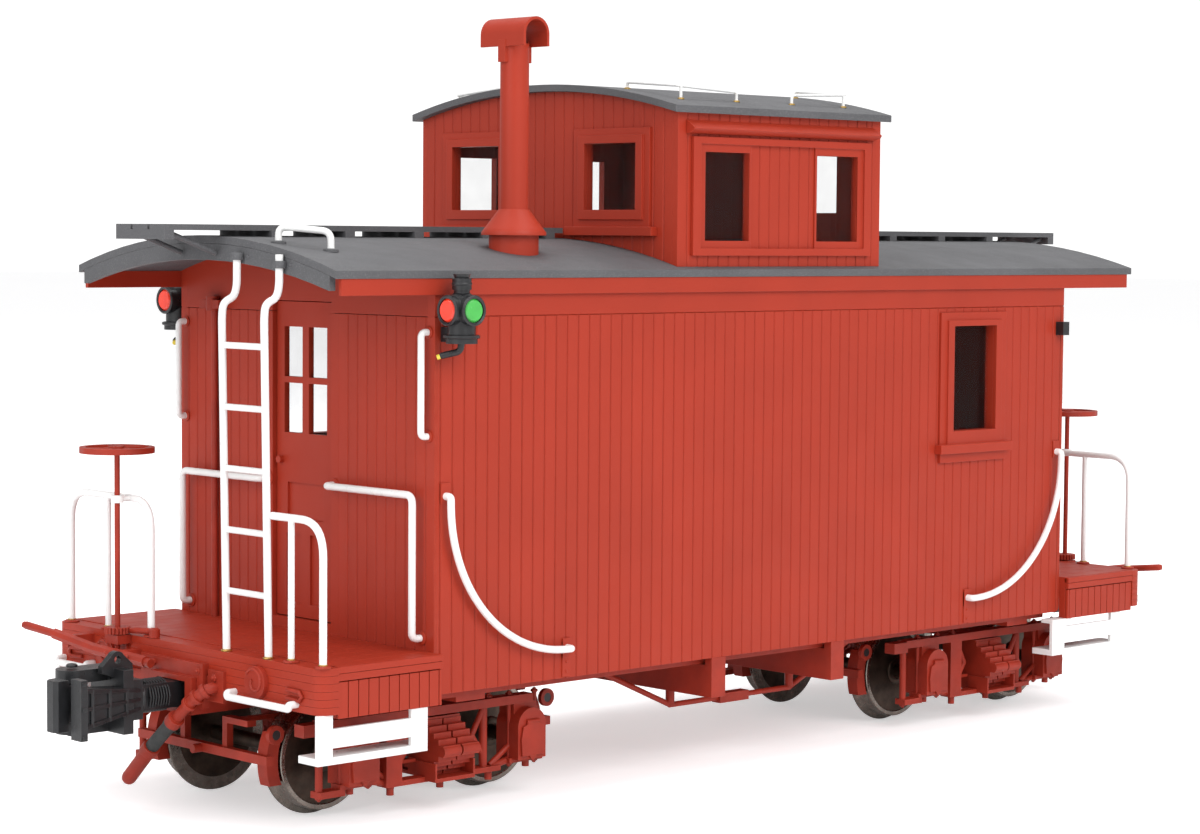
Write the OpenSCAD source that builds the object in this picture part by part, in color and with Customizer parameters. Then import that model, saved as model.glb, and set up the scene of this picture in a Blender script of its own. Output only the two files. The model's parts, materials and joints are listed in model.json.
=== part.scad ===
// Scale model of a short eight-wheel caboose on two swivelling trucks.
// X runs along the car, the front end is at -X, Z is up and z = 0 is the lowest
// point of the wheel flanges. The rear end is the front end turned half round.

/* [Body] */
// Length of the cabin over its end walls
body_l = 260; // [240:1:280]
// Width of the cabin over its side walls
body_w = 112; // [108:1:116]
// Height of the lower edge of the siding
siding_z = 34; // [33:0.5:36]
// Thickness of the cabin walls
wall_t = 3; // [2:0.5:4]

/* [Roof] */
// Length of the main roof
roof_l = 326.4; // [310:0.2:330]
// Width of the main roof
roof_w = 115; // [112:1:118]
// Height of the roof at its ridge
ridge_z = 152; // [148:0.5:156]
// Height of the ridge above the roof's side edges
roof_rise = 8.5; // [6:0.5:12]
// Thickness of both roofs
roof_t = 2; // [1.5:0.5:3]

/* [Cupola] */
// Length of the cupola
cupola_l = 84.2; // [76:0.2:92]
// Width of the cupola
cupola_w = 110; // [100:1:112]
// Height of the cupola roof at its ridge
cupola_z = 196; // [188:1:204]
// Height of the cupola ridge above its roof's side edges
cupola_rise = 7.2; // [5:0.2:10]

/* [Platforms] */
// Length of each end platform, over its end sill
platform_l = 39.4; // [38:0.2:41]
// Width of the end sills
sill_w = 119.6; // [116:0.2:122]
// Height of the platform decks
deck_z = 45; // [44:0.5:46]

/* [Running gear] */
// Distance from the middle of the car to each truck's kingpin
truck_x = 114; // [112:0.5:116]
// Distance between the axles of a truck
wheelbase = 58; // [56:0.5:60]
// Diameter of the wheel treads
tread_d = 28.8; // [28:0.2:29.4]
// Track gauge
gauge = 45; // [44:0.5:46]

/* [Fittings] */
// Diameter of the white handrails
rail_d = 2; // [1.6:0.1:2.2]
// Height of the top of the smoke jack
jack_top_z = 211; // [204:1:216]
// Clearance round moving pins
pin_gap = 0.08; // [0.04:0.01:0.1]

/* [Hidden] */

$fn = 48;

RED = [0.62, 0.15, 0.11];
CHARCOAL = [0.2, 0.2, 0.21];
WHITE = [0.95, 0.95, 0.94];
BLACK = [0.08, 0.08, 0.085];
STEEL = [0.42, 0.39, 0.36];
PANE = [0.6, 0.7, 0.72, 0.35];

half_l = body_l / 2;
half_w = body_w / 2;
inner_w = half_w - wall_t;
roof_r = ((roof_w / 2) * (roof_w / 2) + roof_rise * roof_rise) / (2 * roof_rise);
roof_c = ridge_z - roof_r;
cupola_roof_w = cupola_w + 3.8;
cupola_roof_l = cupola_l + 5.4;
cupola_r = (pow(cupola_roof_w / 2, 2) + pow(cupola_rise, 2)) / (2 * cupola_rise);
cupola_c = cupola_z - cupola_r;
cupola_wall = 2;
sill_x = half_l + platform_l;
sill_t = 5.6;
sill_corner = 4;
sill_low = 33.2;
floor_t = 3;
axle_z = tread_d / 2 + 1.5;
flange_r = axle_z;
door_w = 26;
door_low = 48;
door_top = 134.5;
door_t = 1.7;
leaf_gap = 0.3;
door_x = half_l - 1.4;
door_half = door_w / 2 - leaf_gap;
hinge_x = door_x - door_t - 0.5;
hinge_y = door_w / 2;
pane_w = 8;
pane_h = 13.6;
pane_y = 5.4;
pane_z = [98.5, 113.8];
kingpin_d = 4;
knob_z = 91;
window_x = 84.8;
window_w = 20;
window_low = 94;
window_top = 126;
cupola_window_x = 22.9;
cupola_window_w = 17.6;
cupola_window_low = 151.5;
cupola_window_top = 176.2;
end_window_y = 29;
end_window_w = 21;
end_window_low = 160;
end_window_top = 178.7;
staff_x = sill_x + 2.4;
staff_y = 26;
staff_d = 1.5;
rail_x = sill_x - 2;
rail_top = 81.4;
pivot_x = sill_x - 11;
coupler_z = 32.5;
knuckle_x = 199;
knuckle_y = 6.2;
head_back = 188;
slot_half = 6.4;
plank_w = 6.6;
plank_step = 7.6;
board_end = 182;
board_top = 154.8;
lamp_x = half_l - 3.5;
lamp_y = half_w + 6.4;
lamp_z = 133.4;
step_out = 59;
step_inner_x = 134.4;
step_outer_x = 169.8;
step_shift = 11.3;
step_top = 32;
bar_y = 37.6;
half_base = wheelbase / 2;
shoe_r = tread_d / 2 + 0.7;
wheel_back = gauge / 2 - 1.5;

// ---- helpers ----

// Turns the front end's shape round to make the rear end's
module rear() { rotate([0, 0, 180]) children(); }

module at_both_ends() { children(); rear() children(); }

module on_both_sides() { children(); mirror([0, 1, 0]) children(); }

// Box between two corners
module box(low, high) { translate(low) cube(high - low); }

// Round bar from one point to another
module bar(p, q, d) {
    run = q - p;
    across = norm([run[0], run[1]]);
    translate(p)
        rotate([0, atan2(across, run[2]), across == 0 ? 0 : atan2(run[1], run[0])])
            cylinder(h = norm(run), d = d, $fn = 24);
}

function unit(v) = v / norm(v);

// Points of an arc, as [first, second] coordinates
function arc(centre, r, from, to, steps = 5) = [for (i = [0:steps])
    let (a = from + (to - from) * i / steps) centre + r * [cos(a), sin(a)]];

// Lays [x, z] points in a plane across the car, and [y, z] points in a plane along it
function at_y(points, y) = [for (p = points) [p[0], y, p[1]]];
function at_x(points, x) = [for (p = points) [x, p[0], p[1]]];

// Round rod swept along points; side_way is square to the plane that it bends in
module rod(path, d, side_way, sides = 8) {
    last = len(path) - 1;
    rings = [for (i = [0:last])
        let (t = unit(path[min(i + 1, last)] - path[max(i - 1, 0)]))
        let (n = unit(side_way - (side_way * t) * t))
        let (b = cross(t, n))
        for (k = [0:sides - 1]) path[i] + d / 2 * (cos(360 * k / sides) * n + sin(360 * k / sides) * b)];
    skin = [for (i = [0:last - 1]) for (k = [0:sides - 1])
        [(i + 1) * sides + k, (i + 1) * sides + (k + 1) % sides, i * sides + (k + 1) % sides,
         i * sides + k]];
    first_cap = [for (k = [0:sides - 1]) k];
    last_cap = [for (k = [0:sides - 1]) last * sides + sides - 1 - k];
    polyhedron(rings, concat(skin, [first_cap], [last_cap]));
}

// Long cylinder along X that the roofs and the walls under them are cut with
module along_car(l, r, z) {
    translate([-l / 2, 0, z]) rotate([0, 90, 0]) cylinder(h = l, r = r, $fn = 360);
}

module arched_sheet(l, w, r, centre_z, t) {
    intersection() {
        difference() {
            along_car(l, r, centre_z);
            along_car(l + 2, r - t, centre_z);
        }
        box([-l / 2 - 1, -w / 2, centre_z], [l / 2 + 1, w / 2, centre_z + r + 1]);
    }
}

module under_main_roof() { along_car(roof_l + 40, roof_r - roof_t, roof_c); }

module above_main_roof() {
    difference() {
        box([-roof_l, -roof_w, 0], [roof_l, roof_w, jack_top_z + 20]);
        along_car(roof_l * 2 + 2, roof_r, roof_c);
    }
}

// ---- frame ----

module underframe() {
    color(RED) union() {
        on_both_sides() box([-half_l + wall_t, 8, 31], [half_l - wall_t, 12, siding_z]);
        on_both_sides() box([-half_l + wall_t, 48, 32], [half_l - wall_t, 52, siding_z]);
        at_both_ends() box([-truck_x - 5, -52, 30.6], [-truck_x + 5, 52, siding_z]);
        at_both_ends() translate([-truck_x, 0, 25.4]) cylinder(h = 8, d = kingpin_d);
    }
}

module floor() {
    color(RED) box([-half_l + wall_t, -inner_w, siding_z],
        [half_l - wall_t, inner_w, siding_z + floor_t]);
}

module needle_beams() {
    color(RED) at_both_ends()
        difference() {
            box([-27.8, -half_w, 22.6], [-22.2, half_w, siding_z]);
            on_both_sides() box([-28, 6.9, 30.8], [-22, 13.1, siding_z + 1]);
            on_both_sides() box([-28, 46.9, 31.8], [-22, 53.1, siding_z + 1]);
        }
}

module truss_rods() {
    rod_y = 36.5;
    low_z = 18;
    post_x = 25;
    end_x = 60;
    color(RED) on_both_sides() union() {
        for (way = [-1, 1]) {
            bar([way * end_x, rod_y, siding_z - 0.5], [way * post_x, rod_y, low_z], 1.6);
            translate([way * post_x, rod_y, low_z]) cylinder(h = 4.6, d = 2.6);
        }
        bar([-post_x - 0.4, rod_y, low_z], [post_x + 0.4, rod_y, low_z], 1.6);
        box([-6, rod_y - 1.7, low_z - 1.4], [6, rod_y + 1.7, low_z + 1.4]);
    }
}

// ---- cabin ----

module side_wall() {
    color(RED) intersection() {
        difference() {
            box([-half_l, -half_w, siding_z], [half_l, -inner_w, ridge_z]);
            box([window_x - window_w / 2, -half_w - 1, window_low],
                [window_x + window_w / 2, -inner_w + 1, window_top]);
        }
        under_main_roof();
    }
}

module left_side() { side_wall(); }

module right_side() { rear() side_wall(); }

module end_wall() {
    color(RED) intersection() {
        difference() {
            box([-half_l, -inner_w, siding_z], [-half_l + wall_t, inner_w, ridge_z]);
            box([-half_l - 1, -door_w / 2, door_low], [-half_l + wall_t + 1, door_w / 2, door_top]);
        }
        under_main_roof();
    }
}

module front_end_wall() { end_wall(); }

module rear_end_wall() { rear() end_wall(); }

module door() {
    color(RED) difference() {
        union() {
            box([-door_x, -door_half, door_low + leaf_gap],
                [-door_x + door_t, door_half, door_top - leaf_gap]);
            translate([-door_x - 1.4, door_half - 2.2, knob_z]) rotate([0, 90, 0]) cylinder(h = 2, d = 2);
            for (z = [60, 118]) {
                translate([-hinge_x, -hinge_y, z]) cylinder(h = 6, d = 1);
                box([-hinge_x - 0.55, -hinge_y, z], [-hinge_x, -hinge_y + 2.4, z + 6]);
            }
        }
        for (z = pane_z, side = [-1, 1])
            box([-door_x - 1, side * pane_y - pane_w / 2, z],
                [-door_x + door_t + 1, side * pane_y + pane_w / 2, z + pane_h]);
        box([-door_x - 1, -8, 75], [-door_x + 0.7, 8, 85]);
        for (side = [-1, 1])
            box([-door_x - 1, side * 5.2 - 3.2, 52], [-door_x + 0.7, side * 5.2 + 3.2, 71]);
    }
}

module front_door() { door(); }

module rear_door() { rear() door(); }

module door_glass() {
    color(PANE) for (z = pane_z, side = [-1, 1])
        box([-door_x + 0.9, side * pane_y - pane_w / 2, z],
            [-door_x + 1.4, side * pane_y + pane_w / 2, z + pane_h]);
}

module front_door_glass() { door_glass(); }

module rear_door_glass() { rear() door_glass(); }

// ---- windows ----

// Pane in a side wall or side of the cupola, with its outer face at -y
module side_pane(x, w, low, top, y) {
    box([x - w / 2, -y, low], [x + w / 2, -y + 0.6, top]);
}

// Frame round a side window: outer board, inner band, sill and the apron under it
module side_window_frame() {
    difference() {
        union() {
            box([window_x - 15.6, -half_w - 0.8, window_low - 4],
                [window_x + 15.6, -half_w, window_top + 4.2]);
            box([window_x - 12.8, -half_w - 1.5, window_low - 4],
                [window_x + 12.8, -half_w, window_top + 1.8]);
            box([window_x - 17, -half_w - 2.6, window_low - 6.8],
                [window_x + 17, -half_w, window_low - 4]);
            box([window_x - 15.6, -half_w - 1, window_low - 9.6],
                [window_x + 15.6, -half_w, window_low - 6.8]);
        }
        box([window_x - window_w / 2, -half_w - 3, window_low],
            [window_x + window_w / 2, -half_w + 1, window_top]);
    }
}

// One moulding round both windows of a cupola side, a sash round each and the drip above
module cupola_side_frame() {
    face = -cupola_w / 2;
    difference() {
        union() {
            difference() {
                box([-37, face - 1.2, cupola_window_low - 4.2], [37, face, cupola_window_top + 4.2]);
                box([-34, face - 2, cupola_window_low - 2.1], [34, face + 1, cupola_window_top + 2.2]);
            }
            for (side = [-1, 1])
                box([side * 23.7 - 10.4, face - 0.5, cupola_window_low - 2.2],
                    [side * 23.7 + 10.4, face, cupola_window_top + 2.3]);
        }
        for (side = [-1, 1])
            box([side * cupola_window_x - cupola_window_w / 2, face - 2, cupola_window_low],
                [side * cupola_window_x + cupola_window_w / 2, face + 1, cupola_window_top]);
    }
    translate([-39, 0, 0]) rotate([90, 0, 90]) linear_extrude(78)
        polygon([[face, 181], [face - 2.8, 181.8], [face - 3.4, 182.6], [face, 185]]);
}

// Frame round an end window of the cupola, with its sill
module cupola_end_frame(y) {
    face = -cupola_l / 2;
    difference() {
        union() {
            box([face - 0.9, y - 15.6, 155.2], [face, y + 15.6, 183]);
            box([face - 1.6, y - 13.2, 157.2], [face, y + 13.2, 181]);
            box([face - 2.4, y - 18, 152.7], [face, y + 18, 155.2]);
        }
        box([face - 3, y - end_window_w / 2, end_window_low],
            [face + 1, y + end_window_w / 2, end_window_top]);
    }
}

module window_glass() {
    color(PANE) at_both_ends() {
        side_pane(window_x, window_w, window_low, window_top, half_w - 1.8);
        for (side = [-1, 1])
            side_pane(side * cupola_window_x, cupola_window_w, cupola_window_low,
                cupola_window_top, cupola_w / 2 - 1.2);
        for (side = [-1, 1])
            box([-cupola_l / 2 + 1, side * end_window_y - end_window_w / 2, end_window_low],
                [-cupola_l / 2 + 1.6, side * end_window_y + end_window_w / 2, end_window_top]);
    }
}

module window_trim() {
    color(RED) at_both_ends() {
        side_window_frame();
        cupola_side_frame();
        for (side = [-1, 1]) cupola_end_frame(side * end_window_y);
    }
}

// ---- roof ----

module main_roof() {
    color(CHARCOAL) difference() {
        arched_sheet(roof_l, roof_w, roof_r, roof_c, roof_t);
        box([-cupola_l / 2 + cupola_wall, -cupola_w / 2 + cupola_wall, 100],
            [cupola_l / 2 - cupola_wall, cupola_w / 2 - cupola_wall, jack_top_z]);
    }
}

module roof_end_boards() {
    board_half = 54.8;
    lower_edge_rise = 7.2;
    lower_edge_z = ridge_z - 6.4;
    board_r = (board_half * board_half + lower_edge_rise * lower_edge_rise) / (2 * lower_edge_rise);
    color(CHARCOAL) at_both_ends() intersection() {
        difference() {
            box([-roof_l / 2, -board_half, 130], [-roof_l / 2 + 2, board_half, ridge_z]);
            along_car(roof_l + 20, board_r, lower_edge_z - board_r);
        }
        under_main_roof();
    }
}

module eave_boards() {
    color(RED) on_both_sides() intersection() {
        box([-roof_l / 2 + 2, half_w, 137.2], [roof_l / 2 - 2, half_w + 1.2, ridge_z]);
        under_main_roof();
    }
}

module running_boards() {
    under_z = board_top - 1.5;
    color(CHARCOAL) difference() {
        union() {
            for (i = [-1:1])
                box([-board_end, i * plank_step - plank_w / 2, under_z],
                    [-cupola_l / 2 - 2.6, i * plank_step + plank_w / 2, board_top]);
            for (x = [147, 122.5, 98.5, 74, 50])
                box([-x - 1.6, -11.6, ridge_z - 3], [-x + 1.6, 11.6, under_z + 0.1]);
            box([-board_end, -10.9, board_top - 3.9], [-board_end + 3, 10.9, under_z + 0.1]);
            for (side = [-1, 1])
                bar([-board_end + 3, side * 7.6, board_top - 2],
                    [-roof_l / 2 - 0.7, side * 7.6, 147.4], 1.4);
        }
        along_car(roof_l, roof_r, roof_c);
    }
}

module front_running_boards() { running_boards(); }

module rear_running_boards() { rear() running_boards(); }

// ---- cupola ----

module under_cupola_roof() { along_car(cupola_roof_l + 4, cupola_r - roof_t, cupola_c); }

module cupola_side() {
    color(RED) intersection() {
        difference() {
            box([-cupola_l / 2, -cupola_w / 2, 130],
                [cupola_l / 2, -cupola_w / 2 + cupola_wall, cupola_z]);
            for (side = [-1, 1])
                box([side * cupola_window_x - cupola_window_w / 2, -cupola_w / 2 - 1, cupola_window_low],
                    [side * cupola_window_x + cupola_window_w / 2, 0, cupola_window_top]);
        }
        under_cupola_roof();
        above_main_roof();
    }
}

module cupola_left_side() { cupola_side(); }

module cupola_right_side() { rear() cupola_side(); }

module cupola_end() {
    color(RED) intersection() {
        difference() {
            box([-cupola_l / 2, -cupola_w / 2 + cupola_wall, 130],
                [-cupola_l / 2 + cupola_wall, cupola_w / 2 - cupola_wall, cupola_z]);
            for (side = [-1, 1])
                box([-cupola_l, side * end_window_y - end_window_w / 2, end_window_low],
                    [0, side * end_window_y + end_window_w / 2, end_window_top]);
        }
        under_cupola_roof();
        above_main_roof();
    }
}

module cupola_front() { cupola_end(); }

module cupola_rear() { rear() cupola_end(); }

module cupola_roof() {
    color(CHARCOAL) arched_sheet(cupola_roof_l, cupola_roof_w, cupola_r, cupola_c, roof_t);
}

module roof_grab_rails() {
    color(WHITE) difference() {
        at_both_ends() {
            rod([[-158, -27, 149], [-158, -27, 153.4], [-157.4, -27.9, 154.4], [-150.6, -37.6, 153.6],
                [-150, -38.5, 152.6], [-150, -38.5, 147]], 1.8, [0.8, 0.6, 0]);
            on_both_sides() rod([[-11.5, 47.5, 188], [-11.5, 47.5, 192.9], [-12.3, 47.5, 193.7],
                [-34, 47.5, 194.6], [-35, 46.5, 194.8], [-35, 28, 196.3], [-35, 27, 195.6],
                [-35, 27, 190]], 0.8, [1, -1, 1], 6);
        }
        along_car(roof_l, roof_r, roof_c);
        along_car(cupola_roof_l, cupola_r, cupola_c);
    }
}

module smoke_jack() {
    hood_r = 4.6;
    hood_z = jack_top_z - hood_r;
    color(RED) translate([-86.5, -37, 0]) intersection() {
        union() {
            translate([0, 0, 140]) cylinder(h = 13, d = 13.5);
            translate([0, 0, 152.6]) cylinder(h = 0.8, d = 17.6);
            translate([0, 0, 153.4]) cylinder(h = 6.2, d1 = 17.6, d2 = 8.2);
            translate([0, 0, 150]) cylinder(h = 54, d = 7.8);
            difference() {
                union() {
                    translate([0, 8.8, hood_z]) rotate([90, 0, 0]) cylinder(h = 17.6, r = hood_r);
                    box([-hood_r, -8.8, hood_z - 3.2], [hood_r, 8.8, hood_z]);
                }
                translate([0, 10, hood_z]) rotate([90, 0, 0]) cylinder(h = 20, r = hood_r - 0.8);
                box([-hood_r + 0.8, -10, hood_z - 5], [hood_r - 0.8, 10, hood_z]);
            }
            for (side = [-1, 1])
                box([side * 4.2 - 0.6, -1.4, jack_top_z - 12], [side * 4.2 + 0.6, 1.4, jack_top_z - 6]);
        }
        translate([86.5, 37, 0]) above_main_roof();
    }
}

// ---- platforms ----

module platform() {
    back_x = -sill_x + sill_t;
    color(RED) union() {
        box([back_x, -sill_w / 2, deck_z - 3], [-half_l, sill_w / 2, deck_z]);
        on_both_sides() box([back_x, half_w, 32], [-half_l, sill_w / 2 - 0.6, deck_z - 2]);
        on_both_sides() box([back_x, 9.5, 31], [-half_l, 13, deck_z - 2]);
    }
}

module front_platform() { platform(); }

module rear_platform() { rear() platform(); }

// Plank of the end sill with its outer corners rounded
module sill_plank() {
    linear_extrude(1.9) difference() {
        union() {
            translate([-sill_x, -sill_w / 2 + sill_corner]) square([sill_t, sill_w - 2 * sill_corner]);
            translate([-sill_x + sill_corner, -sill_w / 2]) square([sill_t - sill_corner, sill_w]);
            for (side = [-1, 1])
                translate([-sill_x + sill_corner, side * (sill_w / 2 - sill_corner)])
                    circle(r = sill_corner);
        }
        translate([-sill_x + sill_t, -sill_w]) square([sill_w, 2 * sill_w]);
    }
}

module end_sills() {
    color(RED) at_both_ends() difference() {
        union() {
            for (i = [0:5]) translate([0, 0, sill_low + 1.96 * i]) sill_plank();
            box([-sill_x + 0.5, -sill_w / 2 + sill_corner, sill_low],
                [-sill_x + sill_t, sill_w / 2 - sill_corner, deck_z - 0.2]);
        }
        box([-sill_x - 1, -9.5, sill_low - 1], [0, 9.5, 37.6]);
    }
}

module ladder() {
    foot_x = -rail_x - 0.4;
    bend_x = -rail_x - 1.8;
    bend_z = 132.4;
    top_x = -roof_l / 2 - 1.3;
    color(WHITE) union() {
        for (y = [-36, -18])
            rod([[foot_x, y, deck_z], [foot_x, y, deck_z + 1], [bend_x, y, bend_z],
                [bend_x + 0.6, y, bend_z + 2.2], [top_x - 0.7, y, bend_z + 4.2],
                [top_x, y, bend_z + 6], [top_x, y, 147.3]], rail_d, [0, 1, 0]);
        for (i = [0:4]) {
            z = 60.8 + 15.8 * i;
            x = foot_x + (bend_x - foot_x) * (z - deck_z) / (bend_z - deck_z);
            bar([x, -36, z], [x, -18, z], 1.7);
        }
    }
}

module front_ladder() { ladder(); }

module rear_ladder() { rear() ladder(); }

module railings() {
    foot = -sill_x - 0.02;
    grab_x = -sill_x - 2.6;
    grab_z = 33.6;
    color(WHITE) {
        union() {
            rod(at_x(concat([[-37.2, rail_top]], [[-50, rail_top]], arc([-50, rail_top - 8], 8, 90, 180),
                [[-58, deck_z]]), -rail_x), rail_d, [1, 0, 0]);
            bar([-rail_x, -45, deck_z], [-rail_x, -45, rail_top], 1.7);
        }
        union() {
            rod(at_x(concat([[55, deck_z]], arc([48, rail_top - 7], 7, 0, 90),
                arc([23.6, rail_top - 7], 7, 90, 180), [[16.6, deck_z]]), -rail_x), rail_d, [1, 0, 0]);
            bar([-rail_x, 37, deck_z], [-rail_x, 37, rail_top], 1.7);
            difference() {
                union() {
                    bar([-rail_x, staff_y, rail_top], [-staff_x, staff_y, rail_top], 1.5);
                    translate([-staff_x, staff_y, rail_top - 1]) cylinder(h = 2, d = 3.4);
                }
                translate([-staff_x, staff_y, rail_top - 4]) cylinder(h = 8, d = staff_d + 2 * pin_gap);
            }
        }
        for (ends = [[-24, -50], [41, 55.5]])
            rod([[foot, ends[0], grab_z + 1.6], [grab_x + 0.8, ends[0], grab_z + 1.6],
                [grab_x, ends[0] + 0.6 * sign(ends[1] - ends[0]), grab_z + 0.6],
                [grab_x, ends[1] - 0.6 * sign(ends[1] - ends[0]), grab_z + 0.6],
                [grab_x + 0.8, ends[1], grab_z + 1.6], [foot, ends[1], grab_z + 1.6]], 1.9, [0, 0, 1]);
    }
}

module front_railings() { railings(); }

module rear_railings() { rear() railings(); }

module wall_grab_rails() {
    stand_off = 2.6;
    side_y = half_w + stand_off;
    end_x = -half_l - 3.2;
    bend = [-half_l + 44.6, 83.4];
    color(WHITE) at_both_ends() {
        // long curved rails on the sides
        on_both_sides() rod(concat([[-half_l + 3.4, half_w, 85]], [[-half_l + 3.4, side_y - 0.6, 85]],
            at_y(arc(bend, 41.2, 180, 270, 10), side_y),
            [[bend[0] + 1, side_y - 0.6, bend[1] - 41.2]], [[bend[0] + 1, half_w, bend[1] - 41.2]]),
            rail_d, [1, 1, 1]);
        // straight grabs by the corners of the end walls
        on_both_sides() rod(at_y([[-half_l, 127.6], [-half_l - 2, 127.6], [-half_l - stand_off, 127],
            [-half_l - stand_off, 101.4], [-half_l - 2, 100.8], [-half_l, 100.8]], 53.6), 1.8, [0, 1, 0]);
        // bent rails from the door to the corners
        on_both_sides() rod(concat([[-half_l, 14.5, 85.6]], [[end_x + 0.8, 14.5, 85.6]],
            at_x(concat([[15.5, 85.6]], arc([42, 76.6], 9, 90, 0), [[51, 49.6]]), end_x),
            [[end_x + 0.6, 51.2, 48.4]], [[-half_l, 51.2, 48.4]]), rail_d, [1, 1, 1]);
    }
}

module marker_lamps() {
    color(BLACK) {
        on_both_sides() translate([-lamp_x, lamp_y, lamp_z]) union() {
            translate([0, 0, -7]) cylinder(h = 10.4, d = 7.2);
            translate([0, 0, 3.4]) cylinder(h = 1, d1 = 7.2, d2 = 4.2);
            translate([0, 0, -8.5]) cylinder(h = 1.7, d = 8.2);
            translate([0, 0, 4]) cylinder(h = 1.4, d = 4.2);
            translate([0, 0, 5.2]) cylinder(h = 2.9, d = 5);
            translate([0, 0, 8]) cylinder(h = 1.3, d1 = 3.6, d2 = 4.6);
            rotate([0, -90, 0]) cylinder(h = 4.5, d = 7.6);
            rotate([-90, 0, 0]) cylinder(h = 4.5, d = 7.6);
            box([-1.5, half_w - lamp_y, -8.2], [1.5, 0, -4.4]);
        }
        // empty lamp brackets at the rear corners
        on_both_sides() box([half_l - 4, half_w, 122.4], [half_l - 1, half_w + 3, 126.6]);
    }
}

module red_lenses() {
    color([0.9, 0.12, 0.08]) on_both_sides()
        translate([-lamp_x - 4.5, lamp_y, lamp_z]) rotate([0, -90, 0]) cylinder(h = 0.7, d1 = 6.2, d2 = 5);
}

module green_lenses() {
    color([0.1, 0.75, 0.25]) on_both_sides()
        translate([-lamp_x, lamp_y + 4.5, lamp_z]) rotate([-90, 0, 0]) cylinder(h = 0.7, d1 = 6.2, d2 = 5);
}

module brake_pipes() {
    pipe_x = -half_l - 1.1;
    pipe_y = 38.5;
    color(RED) at_both_ends() union() {
        bar([pipe_x, pipe_y, deck_z], [pipe_x, pipe_y, 134], 1.8);
        translate([pipe_x - 0.7, pipe_y, 131]) cylinder(h = 4, d = 3.6);
        box([-half_l - 3, pipe_y - 4.5, 131.6], [-half_l, pipe_y + 4.5, 134]);
    }
}

// Two hanging steps of one end, a window over each tread
module step_pair(arm_w) {
    low = 20.6;
    plate_in = step_out - 1.2;
    on_both_sides() union() {
        box([-step_outer_x, plate_in, low], [-step_outer_x + 4.8, step_out, step_top]);
        box([-step_inner_x - arm_w, plate_in, low], [-step_inner_x, step_out, step_top]);
        box([-step_outer_x, plate_in, 24.7], [-step_inner_x, step_out, 29.6]);
        box([-step_outer_x, step_out - 8, low], [-step_inner_x, step_out, low + 1.9]);
    }
}

module corner_steps() {
    color(WHITE) union() {
        step_pair(5.4);
        on_both_sides()
            box([-step_outer_x, step_out - 1.2, step_top - 1], [-step_outer_x + 4.8, step_out, sill_low]);
        rear() translate([step_shift, 0, 0]) {
            step_pair(6.4);
            on_both_sides()
                box([-step_inner_x - 10, step_out - 4.6, step_top - 1.2],
                    [-step_inner_x, step_out, step_top]);
        }
    }
}

// ---- coupler and end gear ----

module draft_gear() {
    slot_low = coupler_z - 3.6;
    slot_top = coupler_z + 3.6;
    color(RED) at_both_ends() {
        difference() {
            union() {
                box([-sill_x - 1.6, -12.4, 29.6], [-sill_x, 16.2, 41.1]);
                box([-sill_x - 3.4, -9.4, 27.6], [-pivot_x + 6, 9.4, 37.4]);
                box([-sill_x - 1, -20.1, 31.7], [-sill_x, -13.4, 39.9]);
                box([-sill_x - 0.6, -13.6, 34], [-sill_x, -12, 38]);
                box([-staff_x - 2, staff_y - 3, 42.6], [-sill_x, staff_y + 3, deck_z]);
                box([-staff_x - 2, staff_y - 3, 35], [-sill_x, staff_y + 3, 36.4]);
                box([-sill_x - 0.6, staff_y - 1.5, 35], [-sill_x, staff_y + 1.5, deck_z]);
                box([-sill_x - 0.6, 16, 35.2], [-sill_x, staff_y, 36.2]);
                for (side = [-1, 1])
                    translate([-sill_x - 1.4, side * 34, 38.9])
                        rotate([0, 90, 0]) cylinder(h = 1.4, r = 4.2);
            }
            box([-sill_x - 8, -slot_half, slot_low], [-pivot_x + 3.4, slot_half, slot_top]);
            translate([-staff_x, staff_y, 30]) cylinder(h = 20, d = staff_d + 2 * pin_gap);
        }
        translate([-pivot_x, 0, slot_low]) cylinder(h = slot_top - slot_low, d = 2.4);
    }
}

module uncoupling_levers() {
    color(RED) at_both_ends() union() {
        bar([-sill_x - 5.4, 6, 39.6], [-sill_x - 6.4, 31, 40.6], 2.4);
        bar([-sill_x - 6.4, 31, 40.6], [-sill_x - 8.6, 47, 43.4], 2.4);
        bar([-sill_x - 8.6, 47, 43.4], [-sill_x - 10.6, 59.4, 44.8], 1.8);
        box([-sill_x - 7, 18.2, 39.2], [-sill_x, 20.6, 41.6]);
        box([-sill_x - 8.4, 40.8, 40.6], [-sill_x, 43.2, 43.4]);
    }
}

module air_hoses() {
    color(BLACK) at_both_ends()
        rod([[-sill_x - 1.02, -16.6, 35.4], [-sill_x - 2.6, -16.6, 35.4], [-sill_x - 4.2, -15, 34.6],
            [-sill_x - 5.4, -12.6, 32], [-sill_x - 5.9, -9.4, 27.8], [-sill_x - 6, -5.6, 24.6],
            [-sill_x - 6, -1, 21.4], [-sill_x - 6.3, 7, 13.8], [-sill_x - 6.6, 15, 6.4]], 4.2, [1, 1, 1]);
}

module brake_wheel() {
    wheel_z = 94.6;
    color(RED) translate([-staff_x, staff_y, 0]) union() {
        translate([0, 0, 34.6]) cylinder(h = 61, d = staff_d);
        translate([0, 0, wheel_z]) rotate_extrude() translate([8.4, -0.8]) square(1.6);
        translate([0, 0, wheel_z - 1]) cylinder(h = 2, d = 4);
        for (a = [0:72:288]) rotate([0, 0, a]) bar([1.2, 0, wheel_z], [9.2, 0, wheel_z], 1.2);
        translate([0, 0, deck_z + 0.2]) cylinder(h = 1.8, d = 6);
    }
}

module front_brake_wheel() { brake_wheel(); }

module rear_brake_wheel() { rear() brake_wheel(); }

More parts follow.
